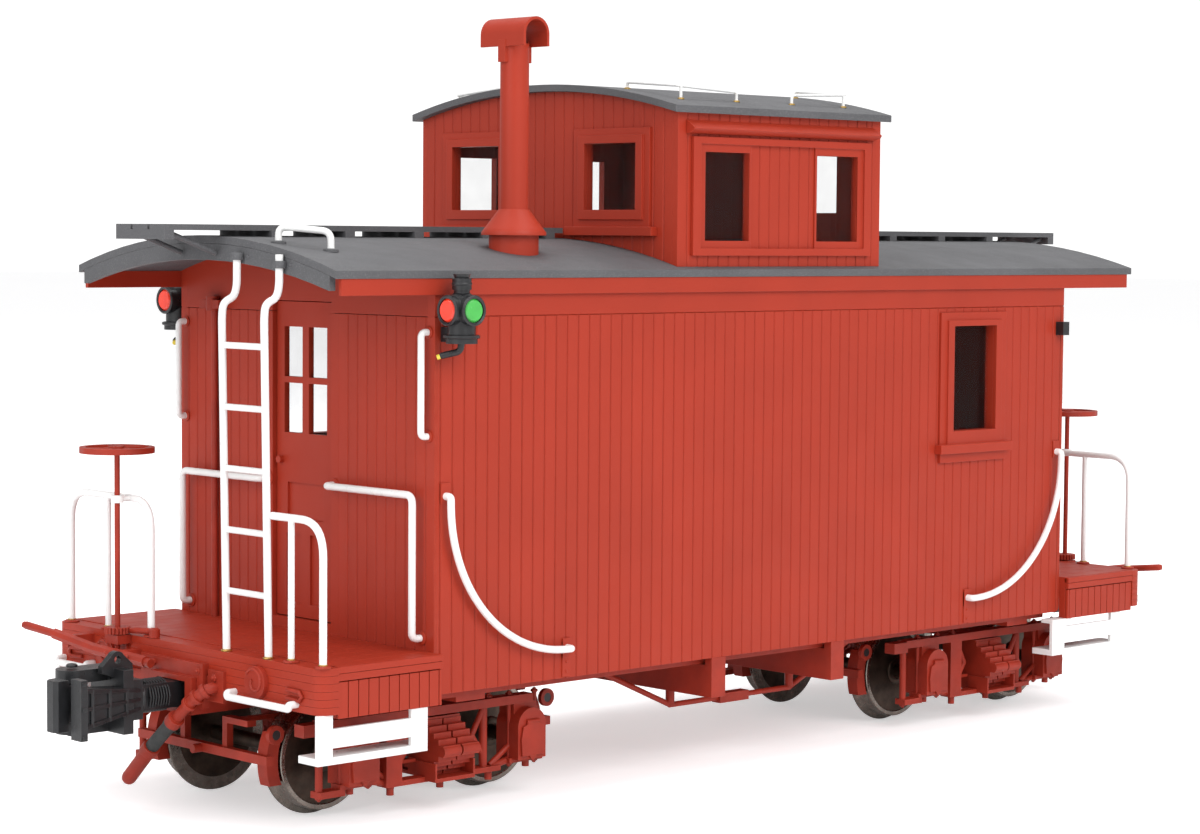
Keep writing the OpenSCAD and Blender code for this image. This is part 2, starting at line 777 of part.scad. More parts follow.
module coupler() {
    plate_low = coupler_z - 8.5;
    plate_top = coupler_z + 8.1;
    guard_x = head_back + 18.6;
    lug_x = head_back + 1.8;
    lug_z = 42.8;
    color(BLACK) union() {
        difference() {
            union() {
                box([-head_back + 3, -3.4, coupler_z - 3.4], [-pivot_x, 3.4, coupler_z + 3.4]);
                translate([-pivot_x, 0, coupler_z - 3.4]) cylinder(h = 6.8, r = 3.4);
                box([-head_back, -4.8, coupler_z - 5.2], [-head_back + 3.4, 4.8, coupler_z + 5.2]);
                intersection() {
                    translate([0, 0, plate_low]) linear_extrude(plate_top - plate_low)
                        polygon([[-head_back + 4, -4], [-guard_x + 1, -9.4], [-guard_x + 1, -5.4],
                            [-head_back - 12, -3], [-head_back - 2, 0.5], [-head_back + 4, 3]]);
                    rotate([90, 0, 0]) linear_extrude(40, center = true)
                        polygon([[-head_back + 4, coupler_z - 2.6], [-guard_x + 1, coupler_z - 5.4],
                            [-guard_x + 1, coupler_z + 5.4], [-head_back + 4, coupler_z + 2.6]]);
                }
                box([-guard_x, -9.8, plate_low + 0.5], [-guard_x + 2, -5.2, plate_top - 0.6]);
                box([-head_back - 3, -5.5, plate_low], [-head_back, 9.6, plate_top]);
                for (z = [plate_low, plate_top - 3.3])
                    translate([0, 0, z]) linear_extrude(3.3) {
                        translate([-knuckle_x, knuckle_y]) circle(r = 4.2);
                        translate([-knuckle_x, knuckle_y - 4.2]) square([10, 7.6]);
                    }
                rotate([90, 0, 0]) linear_extrude(2, center = true) {
                    polygon([[-lug_x - 4.8, plate_top - 1], [-lug_x - 4.6, plate_top + 0.8],
                        [-lug_x - 2, lug_z + 1], [-lug_x + 2, lug_z + 1],
                        [-lug_x + 4.6, plate_top + 0.8], [-lug_x + 4.8, plate_top - 4]]);
                    translate([-lug_x, lug_z]) circle(r = 2.2);
                }
            }
            translate([-pivot_x, 0, 0]) cylinder(h = 60, d = 2.4 + 2 * pin_gap);
            translate([-lug_x, 5, lug_z]) rotate([90, 0, 0]) cylinder(h = 10, d = 2);
        }
        translate([-knuckle_x, knuckle_y, plate_low + 1]) cylinder(h = 15, d = 2);
    }
}

module front_coupler() { coupler(); }

module rear_coupler() { rear() coupler(); }

module knuckle() {
    color(BLACK) difference() {
        union() {
            translate([0, 0, coupler_z - 4.9]) linear_extrude(9.4) {
                translate([-knuckle_x, knuckle_y]) circle(r = 3.8);
                polygon([[-knuckle_x, knuckle_y + 3.7], [-knuckle_x - 8, 3.4], [-knuckle_x - 8, 0.4],
                    [-knuckle_x, knuckle_y - 3.7]]);
            }
            translate([0, 0, coupler_z - 6.5]) linear_extrude(13.2)
                polygon([[-knuckle_x - 6.4, 3.4], [-knuckle_x - 9, 3], [-knuckle_x - 10.5, 1.4],
                    [-knuckle_x - 10.5, -1.4], [-knuckle_x - 9.6, -2.5], [-knuckle_x - 6.4, -2.5]]);
        }
        translate([-knuckle_x, knuckle_y, 0]) cylinder(h = 60, d = 2 + 2 * pin_gap);
    }
}

module front_knuckle() { knuckle(); }

module rear_knuckle() { rear() knuckle(); }

// ---- trucks ----

// Side frame of a truck with its journal boxes, drawn about the truck's own middle
module side_frame() {
    outer = bar_y + 4;
    difference() {
        union() {
            box([-41, bar_y, 25.7], [31.5, outer, 28]);
            box([-46.8, bar_y, 24.4], [-40.5, outer, 27.6]);
            for (side = [-1, 1]) {
                box([side * half_base - 6, bar_y, 9.6], [side * half_base + 6, outer, 10.9]);
                translate([side * half_base, outer + 2.4, 19.6]) rotate([90, 0, 0]) cylinder(h = 9, r = 5);
                box([side * half_base - 5, outer - 6.6, 10.6], [side * half_base + 5, outer + 2.4, 19.6]);
                box([side * half_base - 4, outer - 6.6, 19], [side * half_base + 4, outer - 0.6, 25.8]);
                bar([side * (half_base - 5), bar_y + 2, 10.3], [side * 17.4, bar_y + 2, 8.9], 1.8);
                bar([side * (half_base - 4), bar_y + 2, 14.6], [side * 17.4, bar_y + 2, 9.6], 1.6);
                bar([side * 15.4, bar_y + 2, 26], [side * 11, bar_y + 2, 18.4], 1.6);
                bar([side * 11, bar_y + 2, 18.4], [side * 15.4, bar_y + 2, 12], 1.6);
            }
            box([-19.8, bar_y, 8.2], [19.8, outer, 9.6]);
            box([-19.8, bar_y + 0.6, 9], [-14.5, outer, 26]);
            bar([15.1, bar_y + 2, 9], [15.1, bar_y + 2, 26], 2.3);
            bar([-40.5, bar_y + 2, 8.4], [-40.5, bar_y + 2, 26.4], 2);
            box([-41.6, bar_y, 8], [-33.4, outer, 9.7]);
            for (x = [-30.5, 30.5]) bar([x, bar_y + 2, 7.8], [x, bar_y + 2, 10], 2);
            for (x = [-17, 0, 17]) bar([x, bar_y + 2, 5.8], [x, bar_y + 2, 9], 2);
        }
        for (side = [-1, 1])
            translate([side * half_base, 30, axle_z]) rotate([-90, 0, 0])
                cylinder(h = 9, d = 3 + 2 * pin_gap);
    }
}

module truck_frame() {
    color(RED) difference() {
        union() {
            on_both_sides() {
                side_frame();
                box([-6.8, bar_y, 8.6], [6.8, 46, 9.6]);
                for (x = [-6.8, 6.3]) box([x, 38, 8.6], [x + 0.5, 46, 13.6]);
            }
            box([-5, -bar_y - 1, 25], [5, bar_y + 1, 28]);
            translate([0, 0, 25]) cylinder(h = 5.4, d = 14);
            box([-4, -bar_y - 1, 8.6], [4, bar_y + 1, 9.6]);
        }
        translate([0, 0, 20]) cylinder(h = 20, d = kingpin_d + 2 * pin_gap);
    }
}

module front_truck_frame() { translate([-truck_x, 0, 0]) truck_frame(); }

module rear_truck_frame() { translate([truck_x, 0, 0]) truck_frame(); }

module truck_springs() {
    leaf = 1.48;
    middle_z = 17;
    color(RED) on_both_sides() union() {
        for (x = [-6.2, 0.3], i = [0:4], way = [-1, 1])
            translate([0, 0, middle_z + way * (i + 0.5) * leaf])
                box([x, 26.6 + 1.8 * i, -leaf / 2], [x + 5.9, 48.4 - 1.9 * i, leaf / 2]);
        for (x = [-6.2, 0.3])
            translate([x, 47.6, middle_z]) rotate([0, 90, 0]) cylinder(h = 5.9, r = 1.5);
        box([-6.2, 33.6, middle_z + 5 * leaf - 0.3], [6.2, 40.4, 25]);
        box([-4, 33.6, 9.6], [4, 37.4, 10.4]);
    }
}

module front_truck_springs() { translate([-truck_x, 0, 0]) truck_springs(); }

module rear_truck_springs() { translate([truck_x, 0, 0]) truck_springs(); }

module brake_beams() {
    beam_x = half_base + shoe_r + 3;
    shoe_t = 3.6;
    color(RED) for (turn = [0, 180]) rotate([0, 0, turn]) union() {
        box([-beam_x - 2.2, -29, 15.8], [-beam_x, 29, 18.2]);
        translate([-beam_x - 2, 0, 16.8]) rotate([0, -90, 0]) cylinder(h = 2.8, d = 2.4);
        on_both_sides() {
            intersection() {
                translate([-half_base, 23, axle_z]) rotate([-90, 0, 0]) difference() {
                    cylinder(h = 4, r = shoe_r + shoe_t);
                    translate([0, 0, -1]) cylinder(h = 6, r = shoe_r);
                }
                box([-beam_x - 1, 20, axle_z - 6], [-half_base - shoe_r + 4, 30, axle_z + 8]);
            }
            box([-beam_x - 1.2, 8.5, 16], [-beam_x + 0.8, 10.5, 26.2]);
            box([-beam_x - 1.2, 8.5, 24.6], [-beam_x + 1.6, 19.5, 26.2]);
            box([-beam_x, 11.5, 24.8], [-5, 13.5, 26]);
        }
    }
}

module front_brake_beams() { translate([-truck_x, 0, 0]) brake_beams(); }

module rear_brake_beams() { translate([truck_x, 0, 0]) brake_beams(); }

module wheel() {
    translate([0, wheel_back, 0]) rotate([-90, 0, 0])
        rotate_extrude($fn = 96) polygon([[0, 0], [flange_r - 0.5, 0], [flange_r, 0.5], [flange_r, 1],
            [tread_d / 2 + 0.2, 1.9], [tread_d / 2, 2.4], [tread_d / 2 - 0.2, 6], [12.4, 6], [11.6, 4.4],
            [5, 3.8], [4, 6.2], [0, 6.2]]);
}

module wheelset(x) {
    color(STEEL) translate([x, 0, axle_z]) union() {
        on_both_sides() wheel();
        translate([0, -33, 0]) rotate([-90, 0, 0]) cylinder(h = 66, d = 4);
        translate([0, -38, 0]) rotate([-90, 0, 0]) cylinder(h = 76, d = 3);
    }
}

module front_outer_wheelset() { wheelset(-truck_x - half_base); }

module front_inner_wheelset() { wheelset(-truck_x + half_base); }

module rear_inner_wheelset() { wheelset(truck_x - half_base); }

module rear_outer_wheelset() { wheelset(truck_x + half_base); }

underframe();
floor();
needle_beams();
truss_rods();
left_side();
right_side();
front_end_wall();
rear_end_wall();
front_door();
rear_door();
front_door_glass();
rear_door_glass();
window_glass();
window_trim();
main_roof();
roof_end_boards();
eave_boards();
front_running_boards();
rear_running_boards();
cupola_left_side();
cupola_right_side();
cupola_front();
cupola_rear();
cupola_roof();
roof_grab_rails();
smoke_jack();
front_platform();
rear_platform();
end_sills();
front_ladder();
rear_ladder();
front_railings();
rear_railings();
wall_grab_rails();
marker_lamps();
red_lenses();
green_lenses();
brake_pipes();
corner_steps();
draft_gear();
uncoupling_levers();
air_hoses();
front_brake_wheel();
rear_brake_wheel();
front_coupler();
front_knuckle();
rear_coupler();
rear_knuckle();
front_truck_frame();
front_truck_springs();
front_brake_beams();
rear_truck_frame();
rear_truck_springs();
rear_brake_beams();
front_outer_wheelset();
front_inner_wheelset();
rear_inner_wheelset();
rear_outer_wheelset();
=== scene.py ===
"""Looks of the scale model caboose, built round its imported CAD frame. Lengths here are in mm."""

import json
import math

import bmesh
import bpy
from mathutils import Matrix, Vector


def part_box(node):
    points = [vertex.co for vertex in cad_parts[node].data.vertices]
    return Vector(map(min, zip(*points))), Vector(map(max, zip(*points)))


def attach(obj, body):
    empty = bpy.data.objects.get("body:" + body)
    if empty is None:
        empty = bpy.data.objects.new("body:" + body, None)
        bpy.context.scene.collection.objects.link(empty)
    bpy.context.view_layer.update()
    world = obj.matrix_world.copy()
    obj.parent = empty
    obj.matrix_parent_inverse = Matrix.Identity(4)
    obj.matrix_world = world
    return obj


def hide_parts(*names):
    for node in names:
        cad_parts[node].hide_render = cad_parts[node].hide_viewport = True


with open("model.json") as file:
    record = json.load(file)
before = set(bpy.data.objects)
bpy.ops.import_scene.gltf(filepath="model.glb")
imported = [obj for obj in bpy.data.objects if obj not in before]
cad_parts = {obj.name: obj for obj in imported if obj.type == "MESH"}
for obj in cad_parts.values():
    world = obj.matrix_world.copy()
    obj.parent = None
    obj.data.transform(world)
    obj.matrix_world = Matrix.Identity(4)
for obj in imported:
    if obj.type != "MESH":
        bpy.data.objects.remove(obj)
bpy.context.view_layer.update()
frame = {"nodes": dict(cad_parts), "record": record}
MM = 0.001


def span(node):
    """Lowest and highest corner of a CAD node, in mm."""
    low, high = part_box(node)
    return low / MM, high / MM


# ---- materials ----

def nodes_of(name):
    """A new material with its node tree, its shader and the object coordinates."""
    made = bpy.data.materials.new(name)
    made.use_nodes = True
    tree = made.node_tree
    shader = tree.nodes["Principled BSDF"]
    place = tree.nodes.new("ShaderNodeTexCoord").outputs["Object"]
    return made, tree, shader, place


def noise(tree, place, size_mm, detail=3.0, rough=0.55):
    """Cloudy noise whose patches are about size_mm across."""
    n = tree.nodes.new("ShaderNodeTexNoise")
    n.inputs["Scale"].default_value = 1 / (size_mm * MM)
    n.inputs["Detail"].default_value = detail
    n.inputs["Roughness"].default_value = rough
    tree.links.new(place, n.inputs["Vector"])
    return n.outputs["Fac"]


def remap(tree, value, low, high, to_low, to_high):
    """A socket's range from low to high moved to another range, and held at its ends."""
    n = tree.nodes.new("ShaderNodeMapRange")
    n.inputs["From Min"].default_value = low
    n.inputs["From Max"].default_value = high
    n.inputs["To Min"].default_value = to_low
    n.inputs["To Max"].default_value = to_high
    tree.links.new(value, n.inputs["Value"])
    return n.outputs["Result"]


def blend(tree, factor, first, second):
    """Colour between two colours or sockets, by a factor socket."""
    n = tree.nodes.new("ShaderNodeMix")
    n.data_type = "RGBA"
    tree.links.new(factor, n.inputs["Factor"])
    for socket, value in ((n.inputs[6], first), (n.inputs[7], second)):
        if isinstance(value, bpy.types.NodeSocket):
            tree.links.new(value, socket)
        else:
            socket.default_value = (*value, 1)
    return n.outputs[2]


def edges(tree, radius_mm):
    """1 on the sharp edges of a shape, 0 on its flats."""
    soft = tree.nodes.new("ShaderNodeBevel")
    soft.samples = 4
    soft.inputs["Radius"].default_value = radius_mm * MM
    true = tree.nodes.new("ShaderNodeNewGeometry")
    dot = tree.nodes.new("ShaderNodeVectorMath")
    dot.operation = "DOT_PRODUCT"
    tree.links.new(soft.outputs["Normal"], dot.inputs[0])
    tree.links.new(true.outputs["Normal"], dot.inputs[1])
    return remap(tree, dot.outputs["Value"], 0.97, 0.75, 0.0, 1.0)


def coating(name, colour, rough, *, metallic=0.0, mottle=0.08, patch=14.0, grain=0.25, grain_bump=0.04,
            worn=None, wear=0.0, island=0.0, coat=0.0, specular=0.5, speck=0.0):
    """Paint or metal with patches of tone, fine grain in its bump and roughness, and worn edges."""
    made, tree, shader, place = nodes_of(name)
    tone = noise(tree, place, patch)
    dark = [c * (1 - mottle) for c in colour]
    light = [min(1, c * (1 + mottle)) for c in colour]
    shade = blend(tree, remap(tree, tone, 0.3, 0.7, 0, 1), dark, light)
    fine = noise(tree, place, grain, 4.0, 0.7)
    if speck:
        pale = [min(1, c * 3.2) for c in colour]
        shade = blend(tree, remap(tree, fine, 0.52, 0.7, 0, speck), shade, pale)
    if island:
        geometry = tree.nodes.new("ShaderNodeNewGeometry")
        lone = remap(tree, geometry.outputs["Random Per Island"], 0, 1, 0, island)
        shade = blend(tree, lone, shade, [c * 0.6 for c in colour])
    if worn:
        rim = edges(tree, 0.35)
        broken = tree.nodes.new("ShaderNodeMath")
        broken.operation = "MULTIPLY"
        tree.links.new(rim, broken.inputs[0])
        tree.links.new(remap(tree, noise(tree, place, 2.2), 0.35, 0.65, 0, wear), broken.inputs[1])
        shade = blend(tree, broken.outputs[0], shade, worn)
    tree.links.new(shade, shader.inputs["Base Color"])
    tree.links.new(remap(tree, noise(tree, place, patch / 3), 0.3, 0.7, rough - 0.06, rough + 0.08),
                   shader.inputs["Roughness"])
    bump = tree.nodes.new("ShaderNodeBump")
    bump.inputs["Strength"].default_value = 0.6
    bump.inputs["Distance"].default_value = grain_bump * MM
    tree.links.new(fine, bump.inputs["Height"])
    tree.links.new(bump.outputs["Normal"], shader.inputs["Normal"])
    shader.inputs["Metallic"].default_value = metallic
    shader.inputs["Specular IOR Level"].default_value = specular
    shader.inputs["Coat Weight"].default_value = coat
    shader.inputs["Coat Roughness"].default_value = 0.25
    return made


def glazing(name):
    """Thin clear pane, a little smeared."""
    made, tree, shader, place = nodes_of(name)
    tree.links.new(remap(tree, noise(tree, place, 6.0), 0.3, 0.7, 0.02, 0.07), shader.inputs["Roughness"])
    tree.links.new(remap(tree, noise(tree, place, 9.0), 0.3, 0.7, 0.04, 0.07), shader.inputs["Alpha"])
    shader.inputs["Base Color"].default_value = (0.05, 0.055, 0.055, 1)
    shader.inputs["Specular IOR Level"].default_value = 0.6
    return made


RED = (0.375, 0.033, 0.014)
SLOTS = {
    "red_body": coating("red_body", RED, 0.44, mottle=0.05, patch=30, island=0.1, specular=0.25,
                        worn=(0.52, 0.09, 0.05), wear=0.35),
    "red_frame": coating("red_frame", (0.325, 0.028, 0.013), 0.46, mottle=0.14, patch=7, specular=0.3,
                         worn=(0.5, 0.1, 0.06), wear=0.55, grain_bump=0.06),
    "roof_grey": coating("roof_grey", (0.086, 0.086, 0.091), 0.62, mottle=0.12, patch=25, grain=0.35,
                         grain_bump=0.12, speck=0.35, worn=(0.2, 0.19, 0.18), wear=0.5),
    "white_rail": coating("white_rail", (0.86, 0.86, 0.85), 0.32, mottle=0.03, patch=9, grain=0.5,
                          grain_bump=0.03),
    "window_pane": glazing("window_pane"),
    "black_metal": coating("black_metal", (0.013, 0.0135, 0.015), 0.33, mottle=0.25, patch=3.5, grain=0.3,
                           grain_bump=0.08, worn=(0.11, 0.11, 0.11), wear=0.5),
    "red_lens": coating("red_lens", (0.95, 0.045, 0.015), 0.2, mottle=0.08, patch=3, coat=0.6),
    "green_lens": coating("green_lens", (0.06, 0.45, 0.07), 0.2, mottle=0.08, patch=3, coat=0.6),
    "hose_rubber": coating("hose_rubber", (0.035, 0.037, 0.036), 0.6, mottle=0.2, patch=3, grain=0.4,
                           grain_bump=0.1),
    "wheel_steel": coating("wheel_steel", (0.062, 0.043, 0.032), 0.34, metallic=0.8, mottle=0.45, patch=4,
                           grain=0.3, grain_bump=0.05),
}
BRIGHT = coating("bright_tread", (0.27, 0.24, 0.21), 0.24, metallic=1.0, mottle=0.25, patch=3, grain=0.2)
BRASS = coating("brass_tip", (0.62, 0.40, 0.12), 0.3, metallic=1.0, mottle=0.15, patch=1.5, grain=0.2)
YELLOW = coating("yellow_tip", (0.75, 0.6, 0.06), 0.4, mottle=0.05, patch=2)

RED_BODY, RED_FRAME, WHITE = SLOTS["red_body"], SLOTS["red_frame"], SLOTS["white_rail"]
BLACK, CHARCOAL = SLOTS["black_metal"], SLOTS["roof_grey"]
RUBBER, STEEL = SLOTS["hose_rubber"], SLOTS["wheel_steel"]


# ---- mesh tools ----

# Angle between two faces from which their edge is a sharp one
SHARP = math.radians(38)


def bend(path, radius, steps=6):
    """The path with each inner corner rounded to about that radius."""
    points = [Vector(p) for p in path]
    out = [points[0]]
    for before, here, after in zip(points, points[1:], points[2:]):
        a, b = (before - here), (after - here)
        reach = min(radius, a.length * 0.49, b.length * 0.49)
        start, end = here + a.normalized() * reach, here + b.normalized() * reach
        for i in range(steps + 1):
            t = i / steps
            out.append(start * (1 - t) ** 2 + here * 2 * t * (1 - t) + end * t * t)
    out.append(points[-1])
    clean = [out[0]]
    for p in out[1:]:
        if (p - clean[-1]).length > 1e-4:
            clean.append(p)
    return clean


def square_to(axis):
    """The axis at unit length, with two directions square to it."""
    axis = Vector(axis).normalized()
    side = axis.cross((0, 0, 1) if abs(axis.z) < 0.9 else (1, 0, 0)).normalized()
    return axis, side, axis.cross(side)


UP, AHEAD = (0, 0, 1), (-1, 0, 0)


class Shape:
    """Points and faces of one piece, in mm, with a material for each face."""

    def __init__(self, *materials):
        self.materials, self.points, self.faces = materials, [], []

    def add(self, points, faces, mat=0):
        """Adds points, and faces given by their numbers among those points."""
        start = len(self.points)
        self.points += [Vector(p) for p in points]
        self.faces += [([start + i for i in f], mat) for f in faces]

    def prism(self, outline, axis, low, high, mat=0):
        """An outline swept along an axis; low and high are numbers, or functions of the outline's point."""
        def at(p, end):
            level = end(*p) if callable(end) else end
            return [(level, *p), (p[0], level, p[1]), (*p, level)][axis]
        n = len(outline)
        points = [at(p, low) for p in outline] + [at(p, high) for p in outline]
        sides = [(i, (i + 1) % n, n + (i + 1) % n, n + i) for i in range(n)]
        self.add(points, [range(n - 1, -1, -1), range(n, 2 * n), *sides], mat)

    def box(self, low, high, mat=0):
        self.prism([(low[0], low[1]), (high[0], low[1]), (high[0], high[1]), (low[0], high[1])],
                   2, low[2], high[2], mat)

    def lathe(self, at, axis, profile, steps=24, mat=0):
        """A profile of (radius, distance along the axis) turned about the axis."""
        axis, side, up = square_to(axis)
        rings, points, faces = [], [], []
        for r, along in profile:
            centre = Vector(at) + axis * along
            if r < 1e-6:
                rings.append([len(points)] * steps)
                points.append(centre)
                continue
            rings.append([len(points) + k for k in range(steps)])
            for k in range(steps):
                a = 2 * math.pi * k / steps
                points.append(centre + (side * math.cos(a) + up * math.sin(a)) * r)
        for low, high in zip(rings, rings[1:]):
            for k in range(steps):
                j = (k + 1) % steps
                face = [low[k], low[j], high[j], high[k]]
                face = [i for n, i in enumerate(face) if i not in face[:n]]
                if len(face) > 2:
                    faces.append(face)
        for ring in (rings[0], rings[-1]):
            if ring[0] != ring[1]:
                faces.append(ring)
        self.add(points, faces, mat)

    def rod(self, p, q, d, steps=16, mat=0):
        """A straight round bar of diameter d from p to q."""
        run = Vector(q) - Vector(p)
        self.lathe(p, run, [(d / 2, 0), (d / 2, run.length)], steps, mat)

    def tube(self, path, d, steps=14, mat=0, round_ends=False):
        """A round bar of diameter d along a path of points."""
        path = [Vector(p) for p in path]
        last = len(path) - 1
        side = None
        rings, points = [], []
        for i, p in enumerate(path):
            along = (path[min(i + 1, last)] - path[max(i - 1, 0)]).normalized()
            if side is None:
                side = square_to(along)[1]
            side = (side - along * side.dot(along)).normalized()
            up = along.cross(side)
            rings.append((p, along, side, up, d / 2))
        if round_ends:
            for end, way in ((0, -1), (-1, 1)):
                p, along, side, up, r = rings[end]
                extra = [(p + along * way * r * math.sin(a), along, side, up, r * math.cos(a))
                         for a in (0.5, 0.95, 1.3)]
                rings = extra[::-1] + rings if end == 0 else rings + extra
        turns = [2 * math.pi * k / steps for k in range(steps)]
        for p, along, side, up, r in rings:
            points += [p + (side * math.cos(a) + up * math.sin(a)) * r for a in turns]
        faces = [(i * steps + k, i * steps + (k + 1) % steps, (i + 1) * steps + (k + 1) % steps,
                  (i + 1) * steps + k) for i in range(len(rings) - 1) for k in range(steps)]
        faces += [range(steps), range((len(rings) - 1) * steps, len(rings) * steps)]
        self.add(points, faces, mat)

    def nut(self, at, axis, across=1.6, high=0.8, mat=0):
        """Hexagonal nut with the rounded end of its bolt."""
        r = across / 2 / math.cos(math.pi / 6)
        self.lathe(at, axis, [(r, 0), (r, high * 0.8), (r * 0.86, high)], 6, mat)
        e = across * 0.3
        self.lathe(at, axis, [(e, high * 0.9), (e, high * 1.4), (e * 0.6, high * 1.7), (0, high * 1.75)],
                   10, mat)

    def rivet(self, at, axis, d=1.0, mat=0):
        """Round rivet head."""
        r = d / 2
        self.lathe(at, axis, [(r, -0.02), (r * 0.92, r * 0.35), (r * 0.6, r * 0.65), (0, r * 0.8)],
                   12, mat)

    def mirror_y(self):
        """Adds the same shape on the other side of the car."""
        n = len(self.points)
        self.points += [Vector((p.x, -p.y, p.z)) for p in self.points]
        self.faces += [([n + i for i in reversed(list(f))], m) for f, m in self.faces]
        return self

    def turned(self):
        """Adds the same shape at the other end of the car."""
        n = len(self.points)
        self.points += [Vector((-p.x, -p.y, p.z)) for p in self.points]
        self.faces += [([n + i for i in f], m) for f, m in self.faces]
        return self

    def make(self, name, body, slot, *, replaces=(), bevel=0.12, turn=False, shift=0.0, segments=2):
        """Builds the piece, at the other end of the car with turn, or moved along it by shift."""
        sign = -1 if turn else 1
        mesh = bpy.data.meshes.new(name)
        places = [(sign * p.x * MM + shift * MM, sign * p.y * MM, p.z * MM) for p in self.points]
        mesh.from_pydata(places, [], [list(f) for f, _ in self.faces])
        for m in self.materials:
            mesh.materials.append(m)
        for face, (_, m) in zip(mesh.polygons, self.faces):
            face.material_index = m
        work = bmesh.new()
        work.from_mesh(mesh)
        bmesh.ops.recalc_face_normals(work, faces=work.faces)
        work.to_mesh(mesh)
        work.free()
        mesh.shade_smooth()
        mesh.set_sharp_from_angle(angle=SHARP)
        piece = bpy.data.objects.new(name, mesh)
        bpy.context.scene.collection.objects.link(piece)
        if bevel:
            soften(piece, bevel, segments)
        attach(piece, body)
        if replaces:
            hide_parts(*replaces)
        return piece


def soften(piece, width, segments=2):
    """A small bevel on the sharp edges, width in mm."""
    edge = piece.modifiers.new("soft_edges", "BEVEL")
    edge.width = width * MM
    edge.segments = segments
    edge.limit_method = "ANGLE"
    edge.angle_limit = SHARP
    edge.harden_normals = True


# ---- the CAD nodes themselves ----

for part in frame["record"]["subparts"]:
    node = frame["nodes"][part["node"]]
    node.data.materials.clear()
    node.data.materials.append(SLOTS[part["material_slot"]])
    if "custom_normal" in node.data.attributes:
        node.data.attributes.remove(node.data.attributes["custom_normal"])
    node.data.shade_smooth()
    join = node.modifiers.new("join_points", "WELD")
    join.merge_threshold = 1e-6
    soften(node, 0.15)


# ---- sizes that the pieces share, from the CAD boxes ----

SIDE_LOW, SIDE_HIGH = span("left_side")
ROOF_LOW, ROOF_HIGH = span("main_roof")
CUP_LOW, CUP_HIGH = span("cupola_left_side")
CUP_ROOF_HIGH = span("cupola_roof")[1]
SILL_LOW = span("end_sills")[0]
DECK = span("front_platform")[1].z
TRUCK_X = (span("rear_outer_wheelset")[0].x + span("rear_inner_wheelset")[1].x) / 2
HALF_L, HALF_W = -SIDE_LOW.x, -SIDE_LOW.y
WALL = SIDE_HIGH.y - SIDE_LOW.y
SILL_X = -SILL_LOW.x
ROOF_T, ROOF_RISE, CUP_RISE = 2.0, 8.5, 7.2


def arch(high, rise, thick=0.0):
    """Height of an arched roof at y, or of its underside a thickness below, from its box's high corner."""
    r = (high.y * high.y + rise * rise) / (2 * rise)
    return lambda y: high.z - r + math.sqrt((r - thick) ** 2 - y * y)


ROOF_TOP, ROOF_UNDER = arch(ROOF_HIGH, ROOF_RISE), arch(ROOF_HIGH, ROOF_RISE, ROOF_T)
CUP_TOP, CUP_UNDER = arch(CUP_ROOF_HIGH, CUP_RISE), arch(CUP_ROOF_HIGH, CUP_RISE, ROOF_T)
# Lower edge of the smooth name board, and the width and depth of the grooves below it
NAME_BOARD = 131.45
GROOVE = 0.34


# ---- grooved walls ----

def boards(shape, along_x, start, stop, grooves, face, inner, low, high, holes=()):
    """Upright boards side by side with a V-groove at each joint, cut round the window and door holes."""
    joints = {g for g in grooves if start + 0.4 < g < stop - 0.4}
    cuts = sorted(joints | {start, stop} | {e for h in holes for e in h[:2] if start < e < stop})
    way = 1 if face > inner else -1
    for u0, u1 in zip(cuts, cuts[1:]):
        outline = [(u0, inner), (u1, inner)]
        outline += [(u1, face - way * GROOVE), (u1 - GROOVE, face)] if u1 in joints else [(u1, face)]
        outline += [(u0 + GROOVE, face), (u0, face - way * GROOVE)] if u0 in joints else [(u0, face)]
        middle = (u0 + u1) / 2
        spans = [(low, high)]
        for h0, h1, z0, z1 in holes:
            if h0 < middle < h1:
                spans = [(low, z0), (z1, high)]
        for z0, z1 in spans:
            if not callable(z0) and not callable(z1) and z1 - z0 < 0.01:
                continue
            points = outline if along_x else [(v, u) for u, v in outline]
            shape.prism(points, 2, z0, z1)


def steps(first, pitch, low, high):
    """Places at one pitch, counted from first, that lie between low and high."""
    n = math.ceil((low - first) / pitch)
    out = []
    while first + n * pitch < high:
        out.append(first + n * pitch)
        n += 1
    return out


# Window openings as two places along the wall, then bottom and top
WINDOW = (74.8, 94.8, 94.0, 126.0)
CUP_SIDE_WINDOWS = [(s * 22.9 - 8.8, s * 22.9 + 8.8, 151.5, 176.2) for s in (-1, 1)]
CUP_END_WINDOWS = [(s * 29 - 10.5, s * 29 + 10.5, 160, 178.7) for s in (-1, 1)]
# Widths of the boards, a groove of the side's siding, the radius of a side's lower corners
BOARD, CUP_BOARD = 4.008, 4.12
SIDE_GROOVE = 76.47
CORNER = 1.6


def rounded_foot(x, y):
    """Lower edge of a side, with its two corners rounded."""
    near = HALF_L - abs(x)
    if near >= CORNER:
        return SIDE_LOW.z
    return SIDE_LOW.z + CORNER - math.sqrt(max(0, CORNER ** 2 - (CORNER - near) ** 2))


